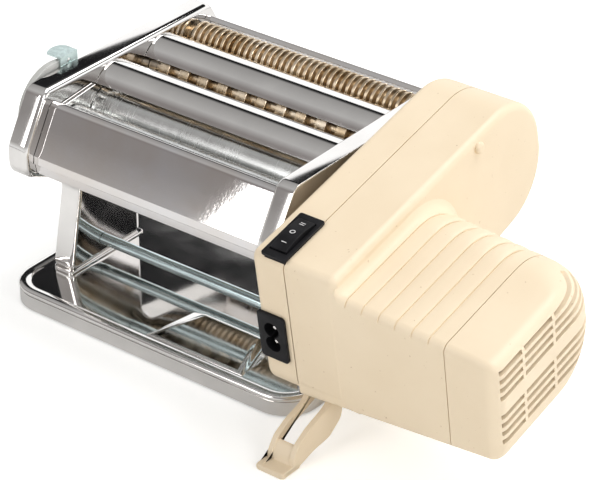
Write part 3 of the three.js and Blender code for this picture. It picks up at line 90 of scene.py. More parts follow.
class Wire:
    """An output in a node tree, to be fed to the entries of other nodes."""

    def __init__(self, tree, socket):
        self.tree = tree
        self.socket = socket

    def math(self, operation, other):
        node = self.tree.nodes.new("ShaderNodeMath")
        node.operation = operation
        for entry, value in zip(node.inputs, (self, other)):
            connect(self.tree, entry, value)
        return Wire(self.tree, node.outputs[0])


def connect(tree, entry, value):
    if isinstance(value, Wire):
        tree.links.new(value.socket, entry)
    elif hasattr(entry.default_value, "__len__") and len(entry.default_value) == 4:
        entry.default_value = (*value, 1.0)[:4]
    else:
        entry.default_value = value


class Nodes:
    """A node tree with short calls for the kinds of nodes that are used here."""

    def __init__(self, tree):
        self.tree = tree

    def node(self, kind, settings=None, output=0, **sockets):
        node = self.tree.nodes.new(kind)
        for name, value in (settings or {}).items():
            setattr(node, name, value)
        for name, value in sockets.items():
            connect(self.tree, node.inputs[name.replace("_", " ")], value)
        return Wire(self.tree, node.outputs[output])

    def noise(self, scale, detail, stretch=(1, 1, 1)):
        spot = self.node("ShaderNodeTexCoord", output="Object")
        spot = self.node("ShaderNodeMapping", Vector=spot, Scale=stretch)
        return self.node("ShaderNodeTexNoise", Vector=spot, Scale=scale, Detail=detail,
                         Roughness=0.55)

    def ramp(self, value, *stops):
        wire = self.node("ShaderNodeValToRGB", Fac=value)
        ramp = wire.socket.node.color_ramp
        for element, (place, colour) in zip(list(ramp.elements), (stops[0], stops[-1])):
            element.position = place
            element.color = (*colour, 1.0)
        for place, colour in stops[1:-1]:
            ramp.elements.new(place).color = (*colour, 1.0)
        return wire

    def span(self, value, low, high, start, end):
        return self.node("ShaderNodeMapRange", Value=value, From_Min=low, From_Max=high,
                         To_Min=start, To_Max=end)

    def over(self, under, layer, share, kind):
        """Lays a colour over another one. A Mix node has its colour sockets at 6, 7 and 2."""
        mix = self.node("ShaderNodeMix", {"data_type": "RGBA", "blend_type": kind}, output=2)
        for entry, value in ((0, share), (6, under), (7, layer)):
            connect(self.tree, mix.socket.node.inputs[entry], value)
        return mix


class Finish(Nodes):
    """A procedural surface: a Principled shader and the nodes that feed it."""

    def __init__(self, name, **sockets):
        self.material = bpy.data.materials.new(name)
        self.material.use_nodes = True
        super().__init__(self.material.node_tree)
        self.shader = self.tree.nodes["Principled BSDF"]
        self.set(**sockets)

    def set(self, **sockets):
        for name, value in sockets.items():
            connect(self.tree, self.shader.inputs[name.replace("_", " ")], value)

    def bump(self, height, depth, strength):
        self.set(Normal=self.node("ShaderNodeBump", Height=height, Strength=strength,
                                  Distance=depth))


def studio():
    camera = bpy.data.cameras.new("camera")
    camera.sensor_fit = "HORIZONTAL"
    camera.sensor_width = 36
    camera.lens = LENS
    camera.clip_end = 20
    eye = bpy.data.objects.new("camera", camera)
    eye.rotation_euler = [math.radians(angle) for angle in EYE_TURN]
    eye.location = BASE_MIDDLE + Vector(EYE_PLACE) * MM
    scene.collection.objects.link(eye)
    scene.camera = eye

    floor_mesh = bpy.data.meshes.new("floor")
    floor = bpy.data.objects.new("floor", floor_mesh)
    bm = bmesh.new()
    bmesh.ops.create_circle(bm, cap_ends=True, segments=96, radius=FLOOR_RADIUS)
    bm.to_mesh(floor_mesh)
    bm.free()
    floor.location.z = -FLOOR_DROP
    scene.collection.objects.link(floor)
    sweep = Finish("floor", Roughness=0.8, Base_Color=(0.86, 0.86, 0.85), Emission_Strength=1.0,
                   Specular_IOR_Level=0.1)
    glow = sweep.node("ShaderNodeLightPath").math("MULTIPLY", FLOOR_GLOW)
    sweep.set(Emission_Color=sweep.over((0.0, 0.0, 0.0), (1.0, 1.0, 0.985), glow, "MIX"))
    floor_mesh.materials.append(sweep.material)

    world = bpy.data.worlds.new("room")
    scene.world = world
    world.use_nodes = True
    room = Nodes(world.node_tree)
    spot = room.node("ShaderNodeTexCoord")
    up, back = (room.node("ShaderNodeSeparateXYZ", output=axis, Vector=spot) for axis in "ZY")
    walls = room.ramp(up.math("ARCTAN2", back).math("MULTIPLY", 1 / math.pi), *ROOM)
    seen = room.node("ShaderNodeLightPath")
    connect(room.tree, room.tree.nodes["Background"].inputs["Color"],
            room.over(walls, (1.0, 1.0, 1.0), seen, "MIX"))

    for name, (place, target, size, power) in LAMPS.items():
        light = bpy.data.lights.new(name, "AREA")
        light.shape = "RECTANGLE"
        light.size, light.size_y = size
        light.energy = power
        lamp = bpy.data.objects.new(name, light)
        lamp.location = place
        lamp.rotation_euler = (Vector(target) - Vector(place)).to_track_quat("-Z", "Y").to_euler()
        scene.collection.objects.link(lamp)


studio()

# BASE PLATE
# One deep-drawn steel tray with a rolled rim, a low ridge across its middle and a raised
# tongue for the table clamp, polished and chromed. The machine's legs stand on the ridge.
BASE_SIZE = (196.0, 120.0)
BASE_CORNER = 20.0
BASE_STEEL = 1.2
RIM_PROFILE = (  # inward from the skirt, height
    (0.0, 9.0), (0.5, 9.12), (0.5, 9.4), (-0.05, 9.6), (-0.32, 10.1), (-0.38, 10.7),
    (-0.24, 11.3), (0.2, 11.85), (0.9, 12.2), (1.8, 12.36), (3.0, 12.4), (4.2, 12.3),
    (5.1, 12.0), (5.8, 11.6), (6.2, 11.2))
RIM_STEP = 0.4
RIM_WIDTH = 6.8
FIELD_EDGE = 10.9
RIDGE_TOP = 11.0
RIDGE_HALF = 22.7
SKIRT_FOOT = 1.0
SKIRT_TOP = 9.4
TONGUE_FOOT = ((-13.0, -52.8), (68.6, -52.8), (58.5, -18.0), (-2.5, -18.0))
TONGUE_TOP = ((-2.4, -52.6), (58.0, -52.6), (46.5, -20.5), (9.6, -20.5))
TONGUE_MIDDLE = -30.0
TONGUE_MOUTH = 12.0
TONGUE_CREST = 13.4
TONGUE_ROUND = 2.2
from_base = Matrix.Translation(BASE_MIDDLE) @ Matrix.Scale(MM, 4)


def surface(name, tone, colours, gloss, grain=None, relief=None, brushed=False, **sockets):
    """A finish whose colour and gloss wander with a coarse noise, over the relief of a fine
    grain. The gloss follows the grain where the surface is brushed."""
    skin = Finish(name, **sockets)
    coarse = skin.noise(*tone)
    fine = skin.noise(*grain) if grain else coarse
    skin.set(Base_Color=skin.ramp(coarse, *colours),
             Roughness=skin.span(fine if brushed else coarse, *gloss))
    if relief:
        skin.bump(fine, *relief)
    return skin.material


CHROME = surface(
    "polished_chrome", tone=(38, 5), gloss=(0.3, 0.8, 0.04, 0.1), grain=(900, 2),
    colours=((0.35, (0.8, 0.785, 0.77)), (0.75, (0.896, 0.8792, 0.8624))),
    relief=(0.00001, 0.05), Metallic=1.0)


def bevelled(bm, geom, offset, segments, affect="EDGES", clamp=False):
    bmesh.ops.bevel(bm, geom=geom, offset=offset, offset_type="OFFSET", segments=segments,
                    profile=0.5, affect=affect, material=-1, clamp_overlap=clamp)


def rounded_face(bm, corners, segments=8):
    """A flat face in the XY plane. Each corner is (x, y, radius) and is rounded in turn."""
    verts = [bm.verts.new((x, y, 0)) for x, y, *_ in corners]
    bm.faces.new(verts)
    for i, vert in enumerate(verts):
        radius = (list(corners[i]) + [0])[2]
        if radius > 0:
            here = vert.co.copy()
            back = (Vector((*corners[i - 1][:2], 0)) - here).normalized()
            ahead = (Vector((*corners[(i + 1) % len(corners)][:2], 0)) - here).normalized()
            half = back.angle(ahead) / 2
            bevelled(bm, [vert], radius / math.tan(half), segments, "VERTICES")


def grown(bm, faces, matrix):
    """Extrudes faces, moves what is new by a matrix and returns the new faces."""
    out = bmesh.ops.extrude_face_region(bm, geom=faces)["geom"]
    verts = [g for g in out if isinstance(g, bmesh.types.BMVert)]
    bmesh.ops.transform(bm, matrix=matrix, verts=verts)
    return [g for g in out if isinstance(g, bmesh.types.BMFace)]


def make(name, bm, matrix, material, body, slot, *nodes, smooth=32, wall=0.0, edge=0.0):
    """Turns a bmesh into a piece of the scene that rides on a body."""
    bmesh.ops.transform(bm, matrix=matrix, verts=bm.verts)
    if matrix.determinant() < 0:
        bmesh.ops.reverse_faces(bm, faces=bm.faces)
    mesh = bpy.data.meshes.new(name)
    for face in bm.faces:
        face.smooth = True
    bm.to_mesh(mesh)
    bm.free()
    mesh.set_sharp_from_angle(angle=math.radians(smooth))
    mesh.materials.append(material)
    piece = bpy.data.objects.new(name, mesh)
    scene.collection.objects.link(piece)
    if wall:
        sheet = piece.modifiers.new("sheet", "SOLIDIFY")
        sheet.thickness = wall * MM
        sheet.offset = -1
    if edge:
        eased = piece.modifiers.new("eased_edges", "BEVEL")
        eased.width = edge * MM
        eased.segments = 2
        eased.limit_method = "ANGLE"
        eased.angle_limit = math.radians(smooth)
        eased.harden_normals = True
    else:
        piece.modifiers.new("even_shading", "WEIGHTED_NORMAL").keep_sharp = True
    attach(piece, body)
    if nodes:
        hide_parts(*nodes)


def joined(*shapes):
    whole = shapes[0]
    for shape in shapes[1:]:
        mesh = bpy.data.meshes.new("joining")
        shape.to_mesh(mesh)
        shape.free()
        whole.from_mesh(mesh)
        bpy.data.meshes.remove(mesh)
    return whole


def block_corners(width, depth, radius):
    return [(x * width / 2, y * depth / 2, radius)
            for x, y in ((-1, -1), (1, -1), (1, 1), (-1, 1))]


def clamp_tongue():
    """The raised tongue that takes the table clamp, open at its front below the rim."""
    bm = bmesh.new()
    sole = bm.faces.new([bm.verts.new((x, y, SKIRT_TOP)) for x, y in TONGUE_FOOT])
    crown = grown(bm, [sole], Matrix.Translation((0, 0, 1)))
    for vert, (x, y) in zip(crown[0].verts, TONGUE_TOP):
        vert.co = (x, y, TONGUE_CREST if y > TONGUE_MIDDLE else TONGUE_MOUTH)
    bmesh.ops.delete(bm, geom=[sole], context="FACES_ONLY")
    raised = [e for e in bm.edges if max(v.co.z for v in e.verts) > SKIRT_TOP + 1]
    rim = [e for e in raised if min(v.co.z for v in e.verts) > SKIRT_TOP + 1
           or max(v.co.y for v in e.verts) > TONGUE_MIDDLE]
    bevelled(bm, rim, TONGUE_ROUND, 5, clamp=True)
    bmesh.ops.recalc_face_normals(bm, faces=bm.faces)
    return bm


def base_plate():
    bm = bmesh.new()
    rounded_face(bm, block_corners(BASE_SIZE[0] - RIM_STEP * 2, BASE_SIZE[1] - RIM_STEP * 2,
                                   BASE_CORNER - RIM_STEP), 16)
    bmesh.ops.translate(bm, vec=(0, 0, SKIRT_FOOT), verts=bm.verts)
    foot = bm.faces[:]
    top = grown(bm, foot, Matrix.Translation((0, 0, RIM_PROFILE[0][1] - SKIRT_FOOT)))
    bmesh.ops.delete(bm, geom=foot, context="FACES_ONLY")
    last = RIM_PROFILE[0]
    for inward, height in RIM_PROFILE[1:] + ((RIM_WIDTH - RIM_STEP, FIELD_EDGE),):
        bmesh.ops.inset_region(bm, faces=top, thickness=inward - last[0], depth=0,
                               use_boundary=True, use_even_offset=True)
        bmesh.ops.translate(bm, vec=(0, 0, height - last[1]),
                            verts=list({v for f in top for v in f.verts}))
        last = (inward, height)
    field = list(top)
    for level in (-RIDGE_HALF, RIDGE_HALF):
        geom = field + list({e for f in field for e in f.edges}) + list(
            {v for f in field for v in f.verts})
        cut = bmesh.ops.bisect_plane(bm, geom=geom, plane_co=(0, level, 0), plane_no=(0, 1, 0))
        field = [g for g in cut["geom"] if isinstance(g, bmesh.types.BMFace)]
    fall = (RIDGE_TOP - FIELD_EDGE) / (BASE_SIZE[1] / 2 - RIM_WIDTH - RIDGE_HALF)
    for vert in {v for f in bm.faces if abs(f.normal.z) > 0.99 for v in f.verts
                 if abs(v.co.z - FIELD_EDGE) < 0.01}:
        vert.co.z = RIDGE_TOP - max(abs(vert.co.y) - RIDGE_HALF, 0) * fall
    make("base_plate_skin", joined(bm, clamp_tongue()), from_base, CHROME, "frame", "chrome",
         "base_plate", smooth=26, wall=BASE_STEEL)


base_plate()

# RUBBER FEET
# Four soft black pads pressed into the underside of the base. They keep the chromed skirt
# a millimetre clear of the table.
FOOT_RADIUS = 7.0
FOOT_HEIGHT = 8.7
FOOT_TAPER = 0.4
FOOT_PLACES = {"front_left": (-80, -43), "front_right": (80, -43),
               "rear_left": (-80, 43), "rear_right": (80, 43)}
RUBBER = surface(
    "foot_rubber", tone=(160, 4), gloss=(0.3, 0.8, 0.7, 0.92), grain=(1400, 2),
    colours=((0.35, (0.012, 0.012, 0.012)), (0.8, (0.035, 0.034, 0.032))),
    relief=(0.00004, 0.4), Specular_IOR_Level=0.3)


def turned(profile, segments=48):
    """Spins a closed profile of (x, radius, fillet) about the X axis."""
    bm = bmesh.new()
    rounded_face(bm, profile, 4)
    bmesh.ops.delete(bm, geom=bm.faces[:], context="FACES_ONLY")
    bmesh.ops.spin(bm, geom=bm.verts[:] + bm.edges[:], axis=(1, 0, 0), cent=(0, 0, 0),
                   angle=math.tau, steps=segments, use_merge=True)
    bmesh.ops.remove_doubles(bm, verts=bm.verts, dist=0.0005)
    bmesh.ops.dissolve_degenerate(bm, dist=0.0005, edges=bm.edges)
    loose = [e for e in bm.edges if not e.link_faces]
    bmesh.ops.delete(bm, geom=loose, context="EDGES")
    bmesh.ops.recalc_face_normals(bm, faces=bm.faces)
    return bm


upright = Matrix.Rotation(-math.pi / 2, 4, "Y")
for spot, (x, y) in FOOT_PLACES.items():
    pad = turned([(0, 0), (0, FOOT_RADIUS - FOOT_TAPER, 0.8), (FOOT_HEIGHT, FOOT_RADIUS),
                  (FOOT_HEIGHT, 0)])
    make(f"rubber_foot_{spot}_skin", pad, from_base @ Matrix.Translation((x, y, 0)) @ upright,
         RUBBER, "frame", "rubber", f"rubber_foot_{spot}")

# SIDE PANELS
# Two deep-drawn steel pans, chromed: a wide head on a narrower leg, with a flange turned
# outwards all round. The rollers run between their flat faces.
HALF_WIDTH = 75.0
FLANGE = 12.0
PANEL_STEEL = 1.0
DRAW_RADIUS = 3.0
FOOT_LEVEL = -114.7
PANEL_CORNERS = (
    (0, 0, 7), (-16.8, -28.5, 12), (-16.8, -43.5, 10), (23.3, -61, 12), (12.3, FOOT_LEVEL, 4.5),
    (70, FOOT_LEVEL, 4.5), (70, -58, 12), (150.8, -43.5, 10), (150.8, -28.5, 12), (134, 0, 7))
LIP_CORNERS = ((11.2, 73.6, 2), (71.1, 73.6, 2), (71.1, 88.3, 4), (11.2, 88.3, 5))
LIP_FOOT = 10.8
LIP_TOP = 12.3
LIP_ROUND = 0.7
HEAD_PLACE = (0, -44, 126)  # the panels' top front corner, above the table
from_head = from_base @ Matrix.Translation(HEAD_PLACE)
across = Matrix(((0, 0, 1, 0), (1, 0, 0, 0), (0, 1, 0, 0), (0, 0, 0, 1)))


def prism(corners, low, high, segments=8):
    """A closed block: an outline in XY carried up from low to high."""
    bm = bmesh.new()
    rounded_face(bm, corners, segments)
    bmesh.ops.translate(bm, vec=(0, 0, low), verts=bm.verts)
    grown(bm, bm.faces[:], Matrix.Translation((0, 0, high - low)))
    bmesh.ops.recalc_face_normals(bm, faces=bm.faces)
    return bm


def round_rim(bm, level, radius, segments=4):
    """Rounds the edges that lie at a level."""
    rim = [e for e in bm.edges if all(abs(v.co.z - level) < 0.001 for v in e.verts)]
    bevelled(bm, rim, radius, segments)


def side_panel(name, side):
    bm = prism(PANEL_CORNERS, 0, FLANGE)
    bmesh.ops.delete(bm, geom=[f for f in bm.faces if f.normal.z > 0.9], context="FACES_ONLY")
    round_rim(bm, 0, DRAW_RADIUS, 5)
    face_out = Matrix.Scale(side, 4, (1, 0, 0)) @ Matrix.Translation((HALF_WIDTH, 0, 0)) @ across
    make(f"{name}_skin", bm, from_head @ face_out, CHROME, "frame", "chrome", name,
         wall=PANEL_STEEL, edge=0.22)


def leg_lip(name, side):
    """The turned-out lip on which a leg stands."""
    bm = prism(LIP_CORNERS, LIP_FOOT, LIP_TOP)
    bmesh.ops.transform(bm, verts=bm.verts, matrix=Matrix((
        (0, side, 0, 0), (1, 0, 0, HEAD_PLACE[1]), (0, 0, 1, 0), (0, 0, 0, 1))))
    bmesh.ops.recalc_face_normals(bm, faces=bm.faces)
    round_rim(bm, LIP_TOP, LIP_ROUND)
    make(name, bm, from_base, CHROME, "frame", "chrome")


for hand, side in (("left", -1), ("right", 1)):
    side_panel(f"{hand}_side_panel", side)
for hand, side in (("left", -1), ("right", 1)):
    leg_lip(f"{hand}_leg_lip", side)

# TIE RODS
# Two bright zinc-plated steel rods hold the panels apart. A threaded stud at each end
# passes its panel and takes a nut.
ROD_RADIUS = 3.25
ROD_END = 74.7
STUD_RADIUS = 2.5
STUD_END = 80.3
ROD_PLACES = {"lower": (39.4, -105.0), "upper": (60.0, -58.0)}


def zinc(name, tint, roughness, stretch=(1, 1, 1)):
    return surface(
        name, tone=(60, 5), gloss=(0.25, 0.8, roughness - 0.05, roughness + 0.08),
        colours=((0.3, tuple(c * 0.86 for c in tint)), (0.75, tint)),
        grain=(420, 3, stretch), relief=(0.00001, 0.06), brushed=True, Metallic=1.0)


ZINC_ROD = zinc("zinc_plated_rod", (0.66, 0.78, 0.8), 0.14, (0.03, 1, 1))
ZINC_PLATE = zinc("zinc_plated_sheet", (0.74, 0.77, 0.76), 0.2)
for spot, (y, z) in ROD_PLACES.items():
    rod = turned([(-STUD_END, 0), (-STUD_END, STUD_RADIUS, 0.5), (-ROD_END, STUD_RADIUS),
                  (-ROD_END, ROD_RADIUS, 0.3), (ROD_END, ROD_RADIUS, 0.3),
                  (ROD_END, STUD_RADIUS), (STUD_END, STUD_RADIUS, 0.5), (STUD_END, 0)], 32)
    make(f"tie_rod_{spot}_skin", rod, from_head @ Matrix.Translation((0, y, z)),
         ZINC_ROD, "frame", "zinc_plate", f"tie_rod_{spot}")


def dressed(node, material, slot, edge):
    """A small plain piece as it is, with its edges broken as tumbling leaves them."""
    source = frame["nodes"][node]
    bm = bmesh.new()
    bm.from_mesh(source.data)
    bmesh.ops.remove_doubles(bm, verts=bm.verts, dist=0.00001)
    bmesh.ops.dissolve_limit(bm, angle_limit=math.radians(1), verts=bm.verts, edges=bm.edges)
    make(f"{node}_skin", bm, Matrix.Identity(4), material, source["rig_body"], slot, node,
         edge=edge)


for spot in ROD_PLACES:
    for hand in ("left", "right"):
        dressed(f"tie_rod_{spot}_nut_{hand}", ZINC_PLATE, "zinc_plate", 0.35)

# SMOOTH ROLLERS
# Two ground steel rollers squeeze the dough to a sheet. The front one's journals run in
# sliding blocks, so that the gap can be set, and scrapers below keep both clean.
ROLLER_RADIUS = 12.5
JOURNAL = 4.0
ROLLER_END = 74.6
LEFT_END = -79.1
GEAR_END = 83.4
SMOOTH_PLACES = {"front": (17.5, -27.0), "rear": (45.4, -27.0)}
GROUND_STEEL = surface(
    "ground_steel", tone=(45, 4), gloss=(0.2, 0.8, 0.2, 0.3), grain=(900, 2, (1, 0.02, 0.02)),
    colours=((0.3, (0.62, 0.63, 0.62)), (0.7, (0.78, 0.79, 0.78))),
    relief=(0.00001, 0.05), brushed=True, Metallic=1.0)
for end, (y, z) in SMOOTH_PLACES.items():
    roller = turned([
        (LEFT_END, 0), (LEFT_END, JOURNAL, 0.4), (-ROLLER_END, JOURNAL),
        (-ROLLER_END, ROLLER_RADIUS, 0.5), (ROLLER_END, ROLLER_RADIUS, 0.5),
        (ROLLER_END, JOURNAL), (GEAR_END, JOURNAL, 0.4), (GEAR_END, 0)], 72)
    make(f"smooth_roller_{end}_skin", roller, from_head @ Matrix.Translation((0, y, z)),
         GROUND_STEEL, f"smooth_{end}", "satin_steel", f"smooth_roller_{end}")

for node in ("bearing_block_left", "bearing_block_right", "scraper_front", "scraper_rear"):
    dressed(node, ZINC_PLATE, "zinc_plate", 0.12)
for node in ("dough_guide_left", "dough_guide_right"):
    dressed(node, CHROME, "chrome", 0.25)

# CUTTERS
# Turned steel rollers whose discs run in the grooves of the mating roller: a wide pair for
# ribbons and a narrow pair. Combs below them lift the cut dough out of the grooves.
CUT_RADIUS = 9.2
CUT_CORE = 5.6
CUT_CHAMFER = 0.22
SIDE_PLAY = 0.2
WIDE_CUT = 6.5
NARROW_CUT = 2.0
DOG_END = 88.0
CUTTERS = {  # width of a cut, first slot with a disc, right end, axis behind and below
    "wide_cutter_front": (WIDE_CUT, 0, GEAR_END, 69.763, -21.951),
    "wide_cutter_rear": (WIDE_CUT, 1, GEAR_END, 86.0, -18.5),
    "narrow_cutter_front": (NARROW_CUT, 0, DOG_END, 104.763, -18.451),
    "narrow_cutter_rear": (NARROW_CUT, 1, GEAR_END, 121.0, -15.0),
}
CUTTER_STEEL = surface(
    "cutter_steel", tone=(70, 5), gloss=(0.2, 0.8, 0.22, 0.4), grain=(1100, 2, (1, 0.03, 0.03)),
    colours=((0.3, (0.5, 0.37, 0.22)), (0.5, (0.7, 0.58, 0.43)), (0.75, (0.86, 0.78, 0.66))),
    relief=(0.00002, 0.25), brushed=True, Metallic=1.0)
for node, (width, phase, right_end, y, z) in CUTTERS.items():
    slots = int(ROLLER_END * 2 / width)
    profile = [(LEFT_END, 0), (LEFT_END, JOURNAL), (-ROLLER_END, JOURNAL),
               (-ROLLER_END, CUT_CORE)]
    for slot in range(phase, slots, 2):
        low = (slot - slots / 2) * width + SIDE_PLAY / 2
        high = low + width - SIDE_PLAY
        profile += [(low, CUT_CORE), (low, CUT_RADIUS - CUT_CHAMFER),
                    (low + CUT_CHAMFER, CUT_RADIUS), (high - CUT_CHAMFER, CUT_RADIUS),
                    (high, CUT_RADIUS - CUT_CHAMFER), (high, CUT_CORE)]
    profile += [(ROLLER_END, CUT_CORE), (ROLLER_END, JOURNAL), (right_end, JOURNAL),
                (right_end, 0)]
    make(f"{node}_skin", turned(profile, 40), from_head @ Matrix.Translation((0, y, z)),
         CUTTER_STEEL, frame["nodes"][node]["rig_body"], "cutter_steel", node)


def refinished(material, *nodes):
    """Pieces that are shown as they are, with a finish of their own."""
    for node in nodes:
        for entry in frame["nodes"][node].material_slots:
            entry.material = material


refinished(ZINC_PLATE, "wide_comb_front", "wide_comb_rear", "narrow_comb_front",
           "narrow_comb_rear")

# ROLLER GEARS
# Six steel spur gears behind the right cover plate turn each pair of rollers together.
# They are milled and left bare, with a film of grease.
GEAR_STEEL = surface(
    "milled_gear_steel", tone=(120, 5), gloss=(0.3, 0.75, 0.5, 0.24), grain=(1500, 2),
    colours=((0.35, (0.13, 0.12, 0.1)), (0.7, (0.34, 0.34, 0.34))),
    relief=(0.00002, 0.3), Metallic=1.0)
for pair in ("smooth", "wide", "narrow"):
    for end in ("front", "rear"):
        dressed(f"{pair}_gear_{end}", GEAR_STEEL, "gear_steel", 0.15)

# COVERS
# Folded chromed sheets close the head at the front and the back. The front one leans back
# to a rounded top fold and ends below in a flat bead and a turned-in lip.
COVER_STEEL = 0.9
COVER_HALF = 74.7
HEAD_LENGTH = 134.0
COVER_TOP = ((9, -13), (7.6, -7.8, 1), (4, -7.6, 4.5))
COVER_SKIRT = (
    (-10.8, -32.8, 1.2), (-11.2, -37.2, 0.8), (-10, -37.9), (-9, -43.8, 1.5), (-5, -44.2))
REAR_SKIRT = tuple((HEAD_LENGTH - x, y, *fold) for x, y, *fold in reversed(COVER_SKIRT))
REAR_TOP = ((131.2, -5.2, 1.5), (128.2, -7.4))
COVER_CHROME = surface(  # hazed more than the panels, with pale specks and a bluish tinge
    "cover_chrome", tone=(26, 5), gloss=(0.3, 0.75, 0.03, 0.07), grain=(520, 2),
    colours=((0.35, (0.78, 0.74, 0.71)), (0.62, (0.8, 0.79, 0.8)), (0.8, (0.86, 0.9, 0.98))),
    relief=(0.00002, 0.3), Metallic=1.0)


def folded(points):
    """A bent sheet along Z. The points run along its outer face, each with its fold's radius."""
    bm = bmesh.new()
    verts = [bm.verts.new((x, y, -COVER_HALF)) for x, y, *_ in points]
    wire = [bm.edges.new(pair) for pair in zip(verts, verts[1:])]
    out = bmesh.ops.extrude_edge_only(bm, edges=wire)["geom"]
    bmesh.ops.translate(bm, vec=(0, 0, COVER_HALF * 2),
                        verts=[g for g in out if isinstance(g, bmesh.types.BMVert)])
    bm.normal_update()
    ahead = Vector((points[1][0] - points[0][0], points[1][1] - points[0][1], 0))
    outward = Vector((ahead.y, -ahead.x, 0))
    bmesh.ops.recalc_face_normals(bm, faces=bm.faces)
    first = min(bm.faces, key=lambda f: (f.calc_center_median().to_2d()
                                         - Vector(points[0][:2])).length)
    if first.normal.dot(outward) < 0:
        bmesh.ops.reverse_faces(bm, faces=bm.faces)
    for before, (x, y, *fold), after in zip(points, points[1:], points[2:]):
        if fold:
            a = Vector((x - before[0], y - before[1]))
            b = Vector((after[0] - x, after[1] - y))
            line = [e for e in bm.edges if all(
                abs(v.co.x - x) < 0.001 and abs(v.co.y - y) < 0.001 for v in e.verts)]
            bevelled(bm, line, fold[0] * math.tan(a.angle(b) / 2), 7)
    return bm


for node, points in (("front_cover", COVER_TOP + COVER_SKIRT),
                     ("rear_cover", REAR_SKIRT + REAR_TOP)):
    make(f"{node}_skin", folded(points), from_head @ across, COVER_CHROME, "frame", "chrome",
         node, wall=COVER_STEEL, edge=0.12)

# HOODS
# Half-round chromed sheets over the rollers, with the dough slots between them. Each ends
# in a lower lip at the front than at the back.
HOOD_RADIUS = 17.0
HOOD_STEEL = 0.8
HOOD_DROP = 20.0
HOODS = {"front_hood": 52.5, "rear_hood": 92.0}
FRONT_LIP_DROP = 10.3
REAR_LIP_DROP = 7.2


def hood(back):
    bm = bmesh.new()
    start = math.asin((HOOD_DROP - REAR_LIP_DROP) / HOOD_RADIUS)
    end = math.pi - math.asin((HOOD_DROP - FRONT_LIP_DROP) / HOOD_RADIUS)
    place = (HOOD_RADIUS * math.cos(start), HOOD_RADIUS * math.sin(start))
    ends = [bm.verts.new((*place, z)) for z in (-COVER_HALF, COVER_HALF)]
    edge = bm.edges.new(ends)
    bmesh.ops.spin(bm, geom=ends + [edge], axis=(0, 0, 1), cent=(0, 0, 0), angle=end - start,
                   steps=44, use_merge=False)
    bm.normal_update()
    if sum(f.normal.dot(f.calc_center_median()) for f in bm.faces) < 0:
        bmesh.ops.reverse_faces(bm, faces=bm.faces)
    bmesh.ops.translate(bm, vec=(back, -HOOD_DROP, 0), verts=bm.verts)
    return bm


for node, back in HOODS.items():
    make(f"{node}_skin", hood(back), from_head @ across, CHROME, "frame", "chrome", node,
         wall=HOOD_STEEL, edge=0.14)

# COVER PLATES
# Flat chromed plates close the mouths of both panels. The right one has a hole at each
# place where the drive can be plugged in, the left one carries the regulator.
for node in ("gear_cover_right", "cover_plate_left"):
    dressed(node, CHROME, "chrome", 0.2)

# THICKNESS REGULATOR
# A grey moulded disc turns on a seat on the left panel and moves the front roller. A sprung
# zinc-plated lever behind it carries a bent thumb tongue above its rim.
DISC = (22.0, -22.0)
DISC_RADIUS = 25.5
DISC_BORE = 12.9
DISC_FACES = (-93.2, -88.6)
DISC_RIM = 4.0
DISC_HUB = 2.0
DISC_RECESS = 0.6
DISC_MARKS = 9
FIRST_MARK = 200  # degrees from the top
MARK_STEP = 22
MARK_SIZE = (0.5, 2.8, 0.7)
MARK_PLACE = (0.55, 6.4)  # in from the disc's face and from its edge
MARK_ROUND = 0.12
GREY_PLASTIC = surface(
    "disc_plastic", tone=(90, 4), gloss=(0.3, 0.7, 0.42, 0.56), grain=(2200, 2),
    colours=((0.35, (0.46, 0.46, 0.44)), (0.7, (0.53, 0.53, 0.51))), relief=(0.00003, 0.3))


def regulator_disc():
    outer, inner = DISC_FACES
    bm = turned([
        (outer, DISC_BORE, 0.3), (inner, DISC_BORE, 0.3), (inner, DISC_RADIUS, 0.6),
        (outer + 0.8, DISC_RADIUS, 1.4), (outer, DISC_RADIUS - 2.5, 0.6),
        (outer + DISC_RECESS, DISC_RADIUS - DISC_RIM, 0.3),
        (outer + DISC_RECESS, DISC_BORE + DISC_HUB, 0.3),
        (outer, DISC_BORE + DISC_HUB - DISC_RECESS, 0.3)], 96)
    for i in range(DISC_MARKS):
        turn = Matrix.Rotation(math.radians(FIRST_MARK - MARK_STEP * i), 4, "X")
        place = Matrix.Translation((outer + MARK_PLACE[0], DISC_RADIUS - MARK_PLACE[1], 0))
        mark = bmesh.ops.create_cube(
            bm, size=1, matrix=turn @ place @ Matrix.Diagonal((*MARK_SIZE, 1)))
        bevelled(bm, list({e for v in mark["verts"] for e in v.link_edges}), MARK_ROUND, 2)
    make("regulator_disc_skin", bm, from_head @ Matrix.Translation((0, *DISC)),
         GREY_PLASTIC, "regulator", "grey_plastic", "regulator_disc")


regulator_disc()
dressed("regulator_seat", ZINC_PLATE, "zinc_plate", 0.3)
ZINC_LEVER = zinc("zinc_plated_lever", (0.68, 0.82, 0.81), 0.16)
dressed("regulator_lever", ZINC_LEVER, "zinc_plate", 0.3)

# MOTOR HOUSING
# Three cream mouldings: an inner shell and an outer housing meet in a seam along the arm,
# and the motor's body grows out of the arm and ends in a vented cap. Screwed together.
TILT = math.radians(13)
ARM_PLACE = (90, -33.5, -14.3)
ARM_WALL = 2.4
ARM_CORNERS = ((-5.8, 0, 5), (-11.3, -84, 11), (165.5, -70, 33), (165.5, 0, 33))
ARM_EDGE = 4.0
SEAM = 19.4
SEAM_GAP = 0.45
ARM_DEPTH = 49.0
BODY_FRONT = (-6.2, -10.8)  # at its top and at its bottom
BODY_REAR = 88
BODY_BOTTOM = -80.7
BODY_TOP = -9
BODY_CORNERS = ((BODY_FRONT[0], BODY_TOP, 4.5), (BODY_FRONT[1], BODY_BOTTOM, 4.5),
                (BODY_REAR, BODY_BOTTOM, 33), (BODY_REAR, BODY_TOP, 33))
TAPER_LEVEL = -31.9
REAR_TAPER = 0.043
HEIGHT_TAPER = 0.133
CAP_SEAM = 110.0
